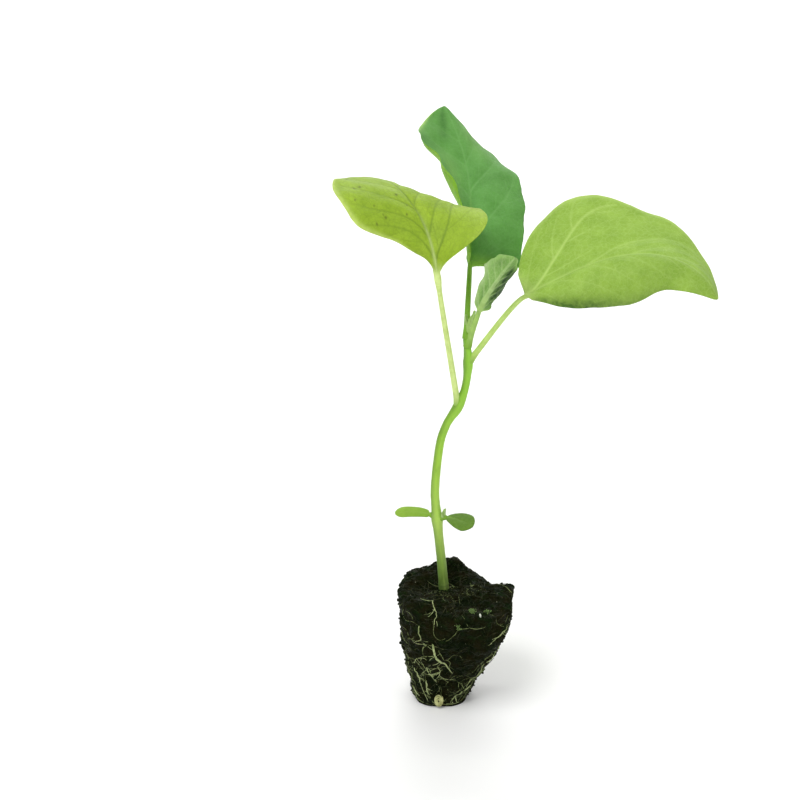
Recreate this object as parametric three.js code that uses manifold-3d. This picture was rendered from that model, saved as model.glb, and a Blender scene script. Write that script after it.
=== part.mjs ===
// Eggplant seedling, lifted out of its tray cell with the root plug that it grew in.
// Millimetres, +Z up. The origin is the centre of the flat that the plug stands on.
// +X is to the seedling's right and +Y is to its back.

import * as THREE from 'three';
import { mergeVertices } from 'three/addons/utils/BufferGeometryUtils.js';
import Module from 'manifold-3d';

// ---------------------------------------------------------------- driving dimensions

const CLEARANCE = 0.3; // gap kept between pieces that touch

// Root plug: the soil that fills one cell of a seedling tray.
const PLUG_HEIGHT = 45;
const PLUG_WIDTH = 39;
const PLUG_DEPTH = 37;
const PLUG_BASE_WIDTH = 18.5;
const PLUG_BASE_DEPTH = 18;
const PLUG_LEAN = { x: 5.2, y: -3 }; // how far the top's middle lies from the base's middle
const PLUG_SQUARENESS = 3; // 2 is an ellipse, and more is a rounded square
const PLUG_LUMPS = 0.035; // how far lumps push the sides in and out, as a share
const PLUG_RIM_DROP = 1.5; // how far the rim lies below the middle of the top

// Stem: from the soil to the growing tip, with a short tap root below the soil.
const STEM_HEIGHT = 97.5;
const CROWN_HEIGHT = 31.2; // the stem's top stretch, which carries the true leaves
const STEM_DIAMETER = 3.4;
const STEM_TIP_DIAMETER = 2.4;
const TAP_ROOT_LENGTH = 20;
const TAP_ROOT_TIP_DIAMETER = 1.2;
const NODE_SWELLING = 0.45; // how much the stem's radius grows at each leaf

// Leaves.
const LEAF_THICKNESS = 0.5;
const LEAF_EDGE_THICKNESS = 0.25;
const PETIOLE_DIAMETER = 2.1;
const PETIOLE_END_DIAMETER = 1.6;
const PETIOLE_NECK = 0.4; // how much of its length the petiole takes to bend into the blade
const MIDRIB_END_DEPTH = 0.3; // how far the midrib stands below the blade's middle at the tip
const BLADE_MIN_HALF_WIDTH = 0.5;

// Cotyledons and buds.
const COTYLEDON_THICKNESS = 0.8;
const COTYLEDON_EDGE_THICKNESS = 0.4;
const COTYLEDON_PETIOLE_DIAMETER = 1.5;
const APICAL_BUD = { length: 11, diameter: 1.7, azimuth: -20, elevation: 76 };
const AXILLARY_BUD = { length: 3.6, diameter: 1.3, azimuth: -60, elevation: 72 };
const AXILLARY_BUD_OFFSET = [2.3, -0.9, 1.3]; // from the stem's middle at the seed leaves
const BUD_TAPER = [0.7, 1, 0.85, 0.5, 0.12]; // radius from base to tip, as shares of the largest

// Heights of the leaf nodes above the soil.
const CROWN_START = STEM_HEIGHT - CROWN_HEIGHT;
const NODE_COTYLEDONS = 0.44 * CROWN_START;
const NODE_LEAF_1 = CROWN_START + 5.85;
const NODE_LEAF_2 = CROWN_START + 21.9;
const NODE_LEAF_4 = CROWN_START + 27.8;
const NODE_LEAF_3 = CROWN_START + 30.7;

// The stem's course: height above the soil, then its offset along X.
const STEM_COURSE = [
  [0, 0.7],
  [0.44 * CROWN_START, -2],
  [0.6 * CROWN_START, -2.8],
  [0.78 * CROWN_START, -2],
  [0.91 * CROWN_START, -0.8],
  [CROWN_START, 1.3],
  [CROWN_START + 5.85, 4.7],
  [CROWN_START + 12.7, 7],
  [CROWN_START + 21.9, 7.9],
  [STEM_HEIGHT, 7.2],
];

// Mesh fineness.
const PLUG_SIDES = 40;
const PLUG_SIDE_LEVELS = 12;
const PLUG_TOP_LEVELS = 6;
const STEM_SIDES = 12;
const STEM_STEPS = 34;
const BLADE_COLUMNS = [0.06, 0.3, 0.55, 0.8, 1]; // shares of the way from midrib to margin
const MIDRIB_STEPS = 8; // between two rows of the blade
const PETIOLE_FACE_SPREAD = 80; // degrees from a petiole ring's top to its last upper point
const ROOT_SIDES = 6;
const ROOT_STEPS_PER_PLACE = 3;
const BUD_STEPS = 8;
const BUD_SIDES = 8;

// ---------------------------------------------------------------- leaves
// A blade's shape is a set of profiles from its base to its tip, at even steps:
//   azimuth, elevation  where the midrib points
//   roll                turn of the blade about the midrib, positive with the left side up
//   half                half-widths of the left and right side
//   fold                angle at which each side leaves the midrib
//   curl                further bend of each side on its way to the margin
//   sweep               how far the margin is swept towards the tip, as a share of the width
//   wave                size and phase of the margin's waves

const TRUE_LEAF = {
  thickness: LEAF_THICKNESS,
  edgeThickness: LEAF_EDGE_THICKNESS,
  petiole: PETIOLE_DIAMETER,
  petioleEnd: PETIOLE_END_DIAMETER,
  rows: 16,
  petioleRows: 10,
};

const COTYLEDON = {
  thickness: COTYLEDON_THICKNESS,
  edgeThickness: COTYLEDON_EDGE_THICKNESS,
  petiole: COTYLEDON_PETIOLE_DIAMETER,
  petioleEnd: COTYLEDON_PETIOLE_DIAMETER,
  rows: 10,
  petioleRows: 4,
};

const LEAF_1 = {
  ...TRUE_LEAF,
  node: NODE_LEAF_1,
  reach: [-7.3, -6, 48.4],
  start: { azimuth: 215, elevation: 80 },
  length: 61,
  azimuth: [112, 122, 119, 109],
  elevation: [73, 39, 1, -37],
  roll: [-33, 2, 27],
  left: { half: [1, 6, 15.5, 23, 21.5, 6], fold: [28, -10], curl: [-69, -40, -17], wave: [0.8, 0.7] },
  right: { half: [1, 16, 21.5, 22.5, 15.5, 4], fold: [32, -22], curl: [56, -30, -37], wave: [1, 0.54] },
  sweep: [-0.18, -0.5],
  baseRounding: 0.06,
  tipRounding: 0.12,
};

const LEAF_2 = {
  ...TRUE_LEAF,
  node: NODE_LEAF_2,
  reach: [17.2, -5, 25.3],
  start: { azimuth: -16, elevation: 56 },
  length: 71.3,
  azimuth: [1, -2, -11, -35],
  elevation: [31, 24, -7, -60],
  roll: [-4, -6, -28],
  left: { half: [4, 22, 28, 23, 15, 5], fold: [50, 8], curl: [-25, 8, 3], wave: [1.4, 0.99] },
  right: { half: [1, 12, 18, 18, 11, 4], fold: [9, -26], curl: [-46, -116, -44], wave: [0.6, 0.64] },
  sweep: [-0.25, 0],
  baseRounding: 0.03,
  tipRounding: 0.12,
};

const LEAF_3 = {
  ...TRUE_LEAF,
  node: NODE_LEAF_3,
  reach: [1.2, 14, 19.6],
  start: { azimuth: 88, elevation: 74 },
  length: 67.5,
  azimuth: [87, 89, 104, 119],
  elevation: [49, 33, 36, 36],
  roll: [17, -7, 0],
  left: { half: [5, 7, 15, 19, 17, 8], fold: [34, -11], curl: [100, 96, 16], wave: [1.9, 0.02] },
  right: { half: [19, 18, 19, 18, 12, 5], fold: [17, -14], curl: [-38, -41, -55], wave: [0.4, 0.85] },
  sweep: [-0.06, -0.06],
  baseRounding: 0.08,
  tipRounding: 0.12,
};

const LEAF_4 = {
  ...TRUE_LEAF,
  node: NODE_LEAF_4,
  reach: [3.5, -3, 13.7],
  start: { azimuth: -40, elevation: 72 },
  length: 28.2,
  azimuth: [-50, -49, -47, -46],
  elevation: [65, 57, 54, 48],
  roll: [-42, -46, -42],
  left: { half: [3.6, 4, 6, 7.5, 6, 3.5], fold: [24, 25], curl: [7, 31, 15], wave: [0.36, 0.15] },
  right: { half: [2.6, 4.7, 6, 7.6, 5.8, 2.6], fold: [37, 38], curl: [38, 38, 12], wave: [0.37, 0.31] },
  sweep: [-0.3, -0.41],
  baseRounding: 0.08,
  tipRounding: 0.15,
};

const COTYLEDON_LEFT = {
  ...COTYLEDON,
  node: NODE_COTYLEDONS,
  reach: [-2.4, 0.3, 1.6],
  start: { azimuth: 176, elevation: 40 },
  length: 12.2,
  azimuth: [176, 178, 182],
  elevation: [16, 0, -12],
  roll: [-16, -18, -20],
  left: { half: [1.5, 2.1, 2.3, 2.3, 2], fold: [10, 6], curl: [-14, -10], wave: [0, 0] },
  right: { half: [1.5, 2.1, 2.3, 2.3, 2], fold: [10, 6], curl: [-14, -10], wave: [0, 0] },
  sweep: [0, 0],
  baseRounding: 0.1,
  tipRounding: 0.25,
};

const COTYLEDON_RIGHT = {
  ...COTYLEDON,
  node: NODE_COTYLEDONS,
  reach: [3.2, -1.4, 1.3],
  start: { azimuth: -25, elevation: 25 },
  length: 10.5,
  azimuth: [-28, -30, -34],
  elevation: [8, -4, -14],
  roll: [14, 16, 18],
  left: { half: [0.9, 2.6, 3.7, 3.9, 3], fold: [8, 4], curl: [-10, -12], wave: [0, 0] },
  right: { half: [0.9, 2.6, 3.7, 3.9, 3], fold: [8, 4], curl: [-10, -12], wave: [0, 0] },
  sweep: [0, 0],
  baseRounding: 0.1,
  tipRounding: 0.25,
};

// ---------------------------------------------------------------- what shows on the plug
// A place on the plug's skin is an angle about it, 0 at +X and -90 at the front, and a rise,
// which is 0 at the base's edge, 1 at the rim and 2 at the middle of the top.

const ROOTS = [
  { diameter: 1.3, route: [[-115, 0.76], [-111, 0.64], [-99, 0.52], [-82, 0.41]] },
  { diameter: 0.7, route: [[-135, 1.45], [-124, 1.28], [-114, 1.09], [-114, 0.91]] },
  { diameter: 0.8, route: [[-130, 0.91], [-129, 0.82], [-126, 0.74], [-120, 0.71]] },
  { diameter: 0.8, route: [[-133, 0.42], [-127, 0.35], [-126, 0.26], [-122, 0.18], [-115, 0.06]] },
  { diameter: 0.6, route: [[-134, 0.47], [-131, 0.53], [-124, 0.57], [-118, 0.57]] },
  { diameter: 0.7, route: [[-119, 0.46], [-115, 0.4], [-113, 0.33]] },
  { diameter: 0.8, route: [[-117, 0.28], [-116, 0.18], [-110, 0.1]] },
  { diameter: 1, route: [[-152, 0.16], [-142, 0.14], [-130, 0.08]] },
  { diameter: 1, route: [[-45, 0.23], [-57, 0.14], [-70, 0.07]] },
  { diameter: 0.7, route: [[-38, 0.87], [-48, 0.83], [-60, 0.77]] },
  { diameter: 0.6, route: [[-106, 0.46], [-99, 0.37], [-102, 0.3]] },
  { diameter: 0.8, route: [[-28, 0.64], [-36, 0.52], [-42, 0.4], [-50, 0.28]] },
  { diameter: 1, route: [[60, 0.85], [74, 0.62], [68, 0.4], [82, 0.18]] },
  { diameter: 0.8, route: [[135, 0.75], [118, 0.55], [126, 0.32]] },
  { diameter: 0.9, route: [[172, 0.85], [162, 0.6], [176, 0.36], [166, 0.14]] },
  { diameter: 0.8, route: [[15, 0.78], [32, 0.56], [24, 0.36], [36, 0.16]] },
  { diameter: 0.7, route: [[104, 0.9], [95, 0.7], [106, 0.46], [100, 0.22]] },
];
const ROOT_COIL = { angle: -95, rise: 0.11, height: 5.6, width: 3.4, diameter: 1.2 };
const MOSSES = [
  { angle: -73, rise: 1.24, width: 2.2, height: 1.6 },
  { angle: -90, rise: 0.96, width: 1.4, height: 1.2 },
  { angle: -55, rise: 1.18, width: 1.3, height: 1 },
];
const GRAIN = { angle: -67, rise: 1.08, width: 1.1, height: 0.9 };
const ROOT_TAPER = [0.7, 1, 1, 0.9, 0.35]; // radius from start to end, as shares of the largest

// ---------------------------------------------------------------- top of the plug
// Mounds and hollows on the plug's top: place from the base's middle, height and spread.

const TOP_MOUNDS = [
  { x: 4, y: 13, height: 4.2, spread: 6 },
  { x: -9, y: 10, height: 1.2, spread: 6 },
  { x: 21, y: 14, height: -8, spread: 9 },
  { x: 0, y: 0, height: -3, spread: 6 },
  { x: -8, y: -12, height: 1, spread: 6 },
  { x: 12, y: -13, height: -1.5, spread: 7 },
];
const PLUG_TAPER = [0, 0.23, 0.46, 0.74, 0.96, 1]; // growth from base to top size
const PLUG_BEND = [0, 0.05, 0.3, 0.7, 1, 1]; // how the lean is reached

// ---------------------------------------------------------------- helpers

const wasm = await Module();
wasm.setup();

const radians = THREE.MathUtils.degToRad;
const lerp = THREE.MathUtils.lerp;

// A smooth curve through evenly spaced values, read at u from 0 to 1.
function profile(values, u) {
  const last = values.length - 1;
  const place = THREE.MathUtils.clamp(u, 0, 1) * last;
  const i = Math.min(Math.floor(place), last - 1);
  const t = place - i;
  const before = i > 0 ? values[i - 1] : 2 * values[0] - values[1];
  const after = i + 2 <= last ? values[i + 2] : 2 * values[last] - values[last - 1];
  const a = values[i];
  const b = values[i + 1];
  const linear = (b - before) * t;
  const square = (2 * before - 5 * a + 4 * b - after) * t * t;
  const cube = (-before + 3 * a - 3 * b + after) * t * t * t;
  return 0.5 * (2 * a + linear + square + cube);
}

function direction(azimuth, elevation) {
  const flat = Math.cos(elevation);
  return new THREE.Vector3(flat * Math.cos(azimuth), flat * Math.sin(azimuth), Math.sin(elevation));
}

function geometryFrom(points, triangles) {
  const geometry = new THREE.BufferGeometry();
  const numbers = points.flatMap((point) => [point.x, point.y, point.z]);
  geometry.setAttribute('position', new THREE.Float32BufferAttribute(numbers, 3));
  geometry.setIndex(triangles);
  return geometry;
}

function toSolid(geometry) {
  const bare = geometry.clone();
  bare.deleteAttribute('normal');
  bare.deleteAttribute('uv');
  const merged = mergeVertices(bare, 1e-5);
  return new wasm.Manifold(
    new wasm.Mesh({
      numProp: 3,
      vertProperties: new Float32Array(merged.attributes.position.array),
      triVerts: new Uint32Array(merged.index.array),
    }),
  );
}

function toGeometry(solid) {
  const mesh = solid.getMesh();
  const geometry = new THREE.BufferGeometry();
  geometry.setAttribute('position', new THREE.BufferAttribute(mesh.vertProperties, 3));
  geometry.setIndex(new THREE.BufferAttribute(mesh.triVerts, 1));
  return geometry;
}

// Closed body from rings of points, each ring in the same sense seen from its far end.
// From the point mirroredFrom on, the quads are split along their other diagonal, so that
// a blade's lower side runs parallel to its upper one.
function loft(rings, mirroredFrom = Infinity) {
  const sides = rings[0].length;
  const triangles = [];
  for (let i = 0; i < rings.length - 1; i += 1) {
    for (let j = 0; j < sides; j += 1) {
      const a = i * sides + j;
      const b = i * sides + ((j + 1) % sides);
      if (j < mirroredFrom) triangles.push(a, b, b + sides, a, b + sides, a + sides);
      else triangles.push(a, b, a + sides, b, b + sides, a + sides);
    }
  }
  const points = rings.flat();
  const ends = [rings[0], rings[rings.length - 1]];
  for (const ring of ends) {
    const middle = new THREE.Vector3();
    ring.forEach((point) => middle.addScaledVector(point, 1 / sides));
    points.push(middle);
  }
  const lastRing = (rings.length - 1) * sides;
  for (let j = 0; j < sides; j += 1) {
    const next = (j + 1) % sides;
    triangles.push(next, j, rings.length * sides);
    triangles.push(lastRing + j, lastRing + next, rings.length * sides + 1);
  }
  return geometryFrom(points, triangles);
}

// Round bar along a curve, with a radius that depends on the share of the way along it.
function bar(curve, steps, sides, radiusAt) {
  const frames = curve.computeFrenetFrames(steps, false);
  const rings = [];
  for (let i = 0; i <= steps; i += 1) {
    const centre = curve.getPointAt(i / steps);
    const radius = radiusAt(i / steps);
    const ring = [];
    for (let j = 0; j < sides; j += 1) {
      const angle = (j / sides) * 2 * Math.PI;
      const point = centre.clone();
      point.addScaledVector(frames.normals[i], radius * Math.cos(angle));
      point.addScaledVector(frames.binormals[i], radius * Math.sin(angle));
      ring.push(point);
    }
    rings.push(ring);
  }
  return loft(rings);
}

// ---------------------------------------------------------------- root plug

function topHeight(x, y) {
  let height = PLUG_HEIGHT;
  for (const mound of TOP_MOUNDS) {
    const distance = Math.hypot(x - mound.x, y - mound.y) / mound.spread;
    height += mound.height * Math.exp(-distance * distance);
  }
  return height;
}

// Point on the plug's skin. rise is 0 at the base's edge, 1 at the rim and 2 at the top's middle.
function plugPoint(angle, rise) {
  const side = Math.min(rise, 1);
  const inward = 1 - Math.max(rise - 1, 0);
  const grown = profile(PLUG_TAPER, side);
  const bend = profile(PLUG_BEND, side);
  const halfWidth = lerp(PLUG_BASE_WIDTH, PLUG_WIDTH, grown) / 2;
  const halfDepth = lerp(PLUG_BASE_DEPTH, PLUG_DEPTH, grown) / 2;
  const c = Math.cos(angle);
  const s = Math.sin(angle);
  const n = PLUG_SQUARENESS;
  const squared = (Math.abs(c) ** n + Math.abs(s) ** n) ** (-1 / n);
  const slow = Math.sin(3 * angle + 5 * side + 0.6);
  const quick = Math.sin(7 * angle - 9 * side + 2);
  const lumps = 1 + PLUG_LUMPS * Math.min(side * 3, 1) * (0.6 * slow + 0.4 * quick);
  const x = PLUG_LEAN.x * bend + halfWidth * c * squared * lumps * inward;
  const y = PLUG_LEAN.y * bend + halfDepth * s * squared * lumps * inward;
  const rim = PLUG_RIM_DROP * inward ** 4;
  const z = side * (topHeight(x, y) - rim);
  return new THREE.Vector3(x, y, z);
}

function makePlug() {
  const rings = [];
  const levels = [];
  for (let i = 0; i <= PLUG_SIDE_LEVELS; i += 1) levels.push(i / PLUG_SIDE_LEVELS);
  for (let i = 1; i < PLUG_TOP_LEVELS; i += 1) levels.push(1 + i / PLUG_TOP_LEVELS);
  for (const level of levels) {
    const ring = [];
    for (let j = 0; j < PLUG_SIDES; j += 1) {
      ring.push(plugPoint((j / PLUG_SIDES) * 2 * Math.PI, level));
    }
    rings.push(ring);
  }
  return toSolid(loft(rings));
}

// ---------------------------------------------------------------- stem

const soilLevel = topHeight(STEM_COURSE[0][1], 0);

const stemCurve = new THREE.CatmullRomCurve3([
  new THREE.Vector3(STEM_COURSE[0][1] + 0.6, 0, soilLevel - TAP_ROOT_LENGTH),
  ...STEM_COURSE.map(([height, x]) => new THREE.Vector3(x, 0, soilLevel + height)),
]);

// The stem's centre at a height above the soil.
function stemPoint(height) {
  let low = 0;
  let high = 1;
  for (let i = 0; i < 30; i += 1) {
    const middle = (low + high) / 2;
    if (stemCurve.getPointAt(middle).z < soilLevel + height) low = middle;
    else high = middle;
  }
  return stemCurve.getPointAt(low);
}

function stemRadius(height) {
  if (height < 0) return lerp(STEM_DIAMETER, TAP_ROOT_TIP_DIAMETER, -height / TAP_ROOT_LENGTH) / 2;
  const plain = lerp(STEM_DIAMETER, STEM_TIP_DIAMETER, height / STEM_HEIGHT) / 2;
  let swelling = 0;
  for (const node of [NODE_COTYLEDONS, NODE_LEAF_1, NODE_LEAF_2]) {
    const distance = (height - node) / STEM_DIAMETER;
    swelling += NODE_SWELLING * Math.exp(-distance * distance);
  }
  return plain + swelling;
}

function makeStem(extra) {
  const radiusAt = (along) => stemRadius(stemCurve.getPointAt(along).z - soilLevel) + extra;
  return toSolid(bar(stemCurve, STEM_STEPS, STEM_SIDES, radiusAt));
}

// ---------------------------------------------------------------- leaves

function bladeBase(leaf) {
  return stemPoint(leaf.node).add(new THREE.Vector3(...leaf.reach));
}

// The petiole's curve, from inside the stem to the blade's base.
function petioleCurve(leaf) {
  const from = stemPoint(leaf.node);
  const to = bladeBase(leaf);
  const pull = from.distanceTo(to) / 3;
  const leaving = direction(radians(leaf.start.azimuth), radians(leaf.start.elevation));
  const arriving = direction(radians(leaf.azimuth[0]), radians(leaf.elevation[0]));
  return new THREE.CubicBezierCurve3(
    from,
    from.clone().addScaledVector(leaving, pull),
    to.clone().addScaledVector(arriving, -pull * PETIOLE_NECK),
    to,
  );
}

// The blade's directions at u: along the midrib, across to the left and up from the upper side.
function bladeFrame(leaf, u) {
  const azimuth = radians(profile(leaf.azimuth, u));
  const roll = radians(profile(leaf.roll, u));
  const along = direction(azimuth, radians(profile(leaf.elevation, u)));
  const level = new THREE.Vector3(-Math.sin(azimuth), Math.cos(azimuth), 0);
  const up = new THREE.Vector3().crossVectors(along, level);
  const across = level.clone().multiplyScalar(Math.cos(roll)).addScaledVector(up, Math.sin(roll));
  const normal = new THREE.Vector3().crossVectors(along, across);
  return { along, across, normal };
}

// Points of the midrib at each of the blade's rows.
function midribPoints(leaf) {
  const step = 1 / (leaf.rows * MIDRIB_STEPS);
  const point = bladeBase(leaf);
  const points = [point.clone()];
  for (let i = 0; i < leaf.rows * MIDRIB_STEPS; i += 1) {
    point.addScaledVector(bladeFrame(leaf, (i + 0.5) * step).along, leaf.length * step);
    if ((i + 1) % MIDRIB_STEPS === 0) points.push(point.clone());
  }
  return points;
}

function roundedEnd(distance, share) {
  const k = 1 - THREE.MathUtils.clamp(distance / share, 0, 1);
  return Math.sqrt(1 - k * k);
}

function halfWidth(leaf, side, u) {
  const [size, phase] = side.wave;
  const wave = size * Math.sin(Math.PI * u) * Math.sin(2 * Math.PI * (3 * u + phase));
  const plain = Math.max(profile(side.half, u) + wave, 0);
  const ends = roundedEnd(u, leaf.baseRounding) * roundedEnd(1 - u, leaf.tipRounding);
  return Math.max(plain * ends, BLADE_MIN_HALF_WIDTH);
}

// Upper and lower points from beside the midrib to one margin; sign is 1 on the left.
function bladeSide(leaf, u, middle, side, sign) {
  const { along, across, normal } = bladeFrame(leaf, u);
  const width = halfWidth(leaf, side, u);
  const fold = radians(profile(side.fold, u));
  const curl = radians(profile(side.curl, u));
  const sweep = profile(leaf.sweep, u);
  const upper = [];
  const lower = [];
  let out = 0;
  let up = 0;
  let before = 0;
  for (const share of BLADE_COLUMNS) {
    const bend = fold + (curl * (before + share)) / 2;
    out += Math.cos(bend) * (share - before) * width;
    up += Math.sin(bend) * (share - before) * width;
    before = share;
    const point = middle.clone().addScaledVector(across, sign * out);
    point.addScaledVector(normal, up).addScaledVector(along, sweep * share * width);
    const lean = fold + curl * share;
    const face = normal.clone().multiplyScalar(Math.cos(lean));
    face.addScaledVector(across, -sign * Math.sin(lean));
    const half = lerp(leaf.thickness, leaf.edgeThickness, share) / 2;
    upper.push(point.clone().addScaledVector(face, half));
    lower.push(point.clone().addScaledVector(face, -half));
  }
  return { upper, lower };
}

// One ring around the blade, with the midrib standing out below.
function bladeRing(leaf, u, middle) {
  const { normal } = bladeFrame(leaf, u);
  const left = bladeSide(leaf, u, middle, leaf.left, 1);
  const right = bladeSide(leaf, u, middle, leaf.right, -1);
  const ribDepth = lerp(leaf.petioleEnd, MIDRIB_END_DEPTH, u);
  const top = middle.clone().addScaledVector(normal, leaf.thickness / 2);
  const bottom = middle.clone().addScaledVector(normal, -ribDepth);
  return [...left.upper.reverse(), top, ...right.upper, ...right.lower.reverse(), bottom, ...left.lower];
}

// Rings around the petiole, with as many points as the blade's, from the stem to the blade.
function petioleRings(leaf, extra) {
  const curve = petioleCurve(leaf);
  const half = BLADE_COLUMNS.length;
  const bladeAcross = bladeFrame(leaf, 0).across;
  const rings = [];
  for (let i = 0; i <= leaf.petioleRows; i += 1) {
    const share = i / leaf.petioleRows;
    const middle = curve.getPoint(share);
    const along = curve.getTangent(share);
    const normal = new THREE.Vector3().crossVectors(along, bladeAcross).normalize();
    const across = new THREE.Vector3().crossVectors(normal, along);
    const radius = lerp(leaf.petiole, leaf.petioleEnd, share) / 2 + extra;
    const ring = [];
    for (const face of [1, -1]) {
      for (let j = half; j >= -half; j -= 1) {
        const angle = radians((PETIOLE_FACE_SPREAD * j * face) / half);
        const point = middle.clone().addScaledVector(across, radius * Math.sin(angle));
        ring.push(point.addScaledVector(normal, face * radius * Math.cos(angle)));
      }
    }
    rings.push(ring);
  }
  return rings;
}

function makePetiole(leaf, extra) {
  return toSolid(loft(petioleRings(leaf, extra)));
}

// A leaf grown in one piece: petiole, midrib and blade.
function makeLeaf(leaf) {
  const points = midribPoints(leaf);
  const bladeRings = points.slice(1).map((point, i) => bladeRing(leaf, (i + 1) / leaf.rows, point));
  const lowerSide = 2 * BLADE_COLUMNS.length + 1;
  return toSolid(loft([...petioleRings(leaf, 0), ...bladeRings], lowerSide));
}

// ---------------------------------------------------------------- buds

// A pointed, closed bud from a point, fat at a third of its length.
function makeBud(from, bud) {
  const along = direction(radians(bud.azimuth), radians(bud.elevation));
  const line = new THREE.LineCurve3(from, from.clone().addScaledVector(along, bud.length));
  const radiusAt = (share) => (bud.diameter / 2) * profile(BUD_TAPER, share);
  return toSolid(bar(line, BUD_STEPS, BUD_SIDES, radiusAt));
}

// ---------------------------------------------------------------- roots, moss and grain

function plugNormal(angle, rise) {
  const step = 0.02;
  const around = plugPoint(angle + step, rise).sub(plugPoint(angle - step, rise));
  const upward = plugPoint(angle, rise + step).sub(plugPoint(angle, rise - step));
  return around.cross(upward).normalize();
}

// Point above the plug's skin.
function abovePlug(angle, rise, lift) {
  return plugPoint(radians(angle), rise).addScaledVector(plugNormal(radians(angle), rise), lift);
}

// A root that follows the plug's skin from place to place.
function makeRoot({ diameter, route }) {
  const angles = route.map(([angle]) => angle);
  const rises = route.map(([, rise]) => rise);
  const count = route.length * ROOT_STEPS_PER_PLACE;
  const points = [];
  for (let i = 0; i <= count; i += 1) {
    const share = i / count;
    const lift = diameter / 2 + CLEARANCE;
    points.push(abovePlug(profile(angles, share), profile(rises, share), lift));
  }
  const radiusAt = (share) => (diameter / 2) * profile(ROOT_TAPER, share);
  return toSolid(bar(new THREE.CatmullRomCurve3(points), count, ROOT_SIDES, radiusAt));
}

// Places a geometry, drawn flat around its own middle with +Z outward, on the plug's skin.
function seatOnPlug(geometry, { angle, rise }, lift) {
  const turn = new THREE.Quaternion();
  const outward = plugNormal(radians(angle), rise);
  turn.setFromUnitVectors(new THREE.Vector3(0, 0, 1), outward);
  const place = abovePlug(angle, rise, lift);
  geometry.applyQuaternion(turn);
  geometry.translate(place.x, place.y, place.z);
  return toSolid(geometry);
}

// The ring of coiled roots low on the plug's front.
function makeRootCoil(coil) {
  const radius = coil.diameter / 2;
  const ring = new THREE.TorusGeometry(coil.height / 2 - radius, radius, 8, 24);
  ring.scale((coil.width - coil.diameter) / (coil.height - coil.diameter), 1, 1);
  return seatOnPlug(ring, coil, radius + CLEARANCE);
}

function makeCrumb(crumb) {
  const ball = new THREE.IcosahedronGeometry(0.5, 1);
  ball.scale(crumb.width, crumb.width, crumb.height);
  return seatOnPlug(ball, crumb, crumb.height / 2 + CLEARANCE);
}

// ---------------------------------------------------------------- the seedling

const seedling = new THREE.Group();

function addPiece(name, solid, color, roughness) {
  const geometry = toGeometry(solid);
  geometry.computeVertexNormals();
  const material = new THREE.MeshStandardMaterial({ color, roughness, metalness: 0 });
  const mesh = new THREE.Mesh(geometry, material);
  mesh.name = name;
  seedling.add(mesh);
}

const stem = makeStem(0);
const stemSpace = makeStem(CLEARANCE);
const leaf3Space = makePetiole(LEAF_3, CLEARANCE);
const leaf4Space = makePetiole(LEAF_4, CLEARANCE);
const rightCotyledonSpace = makePetiole(COTYLEDON_RIGHT, CLEARANCE);

addPiece('soil_plug', makePlug().subtract(stemSpace), 0x1d2414, 0.95);
addPiece('stem', stem, 0x9bc452, 0.5);
addPiece('leaf_1', makeLeaf(LEAF_1).subtract(stemSpace), 0xa0be3d, 0.55);
addPiece('leaf_2', makeLeaf(LEAF_2).subtract(stemSpace), 0x99be52, 0.55);
addPiece('leaf_3', makeLeaf(LEAF_3).subtract(stemSpace), 0x68a055, 0.55);
addPiece('leaf_4', makeLeaf(LEAF_4).subtract(stemSpace).subtract(leaf3Space), 0x82ab5c, 0.7);
addPiece('cotyledon_left', makeLeaf(COTYLEDON_LEFT).subtract(stemSpace), 0x8eb83e, 0.5);
addPiece('cotyledon_right', makeLeaf(COTYLEDON_RIGHT).subtract(stemSpace), 0x668b35, 0.5);

const apicalBud = makeBud(stemPoint(STEM_HEIGHT), APICAL_BUD).subtract(stemSpace);
addPiece('apical_bud', apicalBud.subtract(leaf3Space).subtract(leaf4Space), 0x8fc25a, 0.6);
const axil = stemPoint(NODE_COTYLEDONS).add(new THREE.Vector3(...AXILLARY_BUD_OFFSET));
const axillaryBud = makeBud(axil, AXILLARY_BUD).subtract(stemSpace).subtract(rightCotyledonSpace);
addPiece('axillary_bud', axillaryBud, 0x86b447, 0.6);

ROOTS.forEach((root, i) => {
  addPiece(`root_${String(i + 1).padStart(2, '0')}`, makeRoot(root), 0xcfc9a2, 0.7);
});
addPiece('root_coil', makeRootCoil(ROOT_COIL), 0xb9b98c, 0.7);
MOSSES.forEach((moss, i) => addPiece(`moss_${i + 1}`, makeCrumb(moss), 0x5c8a3c, 0.8));
addPiece('perlite_grain', makeCrumb(GRAIN), 0xe8ebe4, 0.8);

export default seedling;
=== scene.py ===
"""Looks of an eggplant seedling on its root plug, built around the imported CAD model.

Lengths are in millimetres, as in the CAD, until add_piece turns them into metres.
Leaves, stem, plug and roots follow the CAD's own formulas, at a finer pitch.
"""

import math

import bmesh
import bpy
import numpy as np
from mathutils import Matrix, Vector, noise
from mathutils.bvhtree import BVHTree


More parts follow.
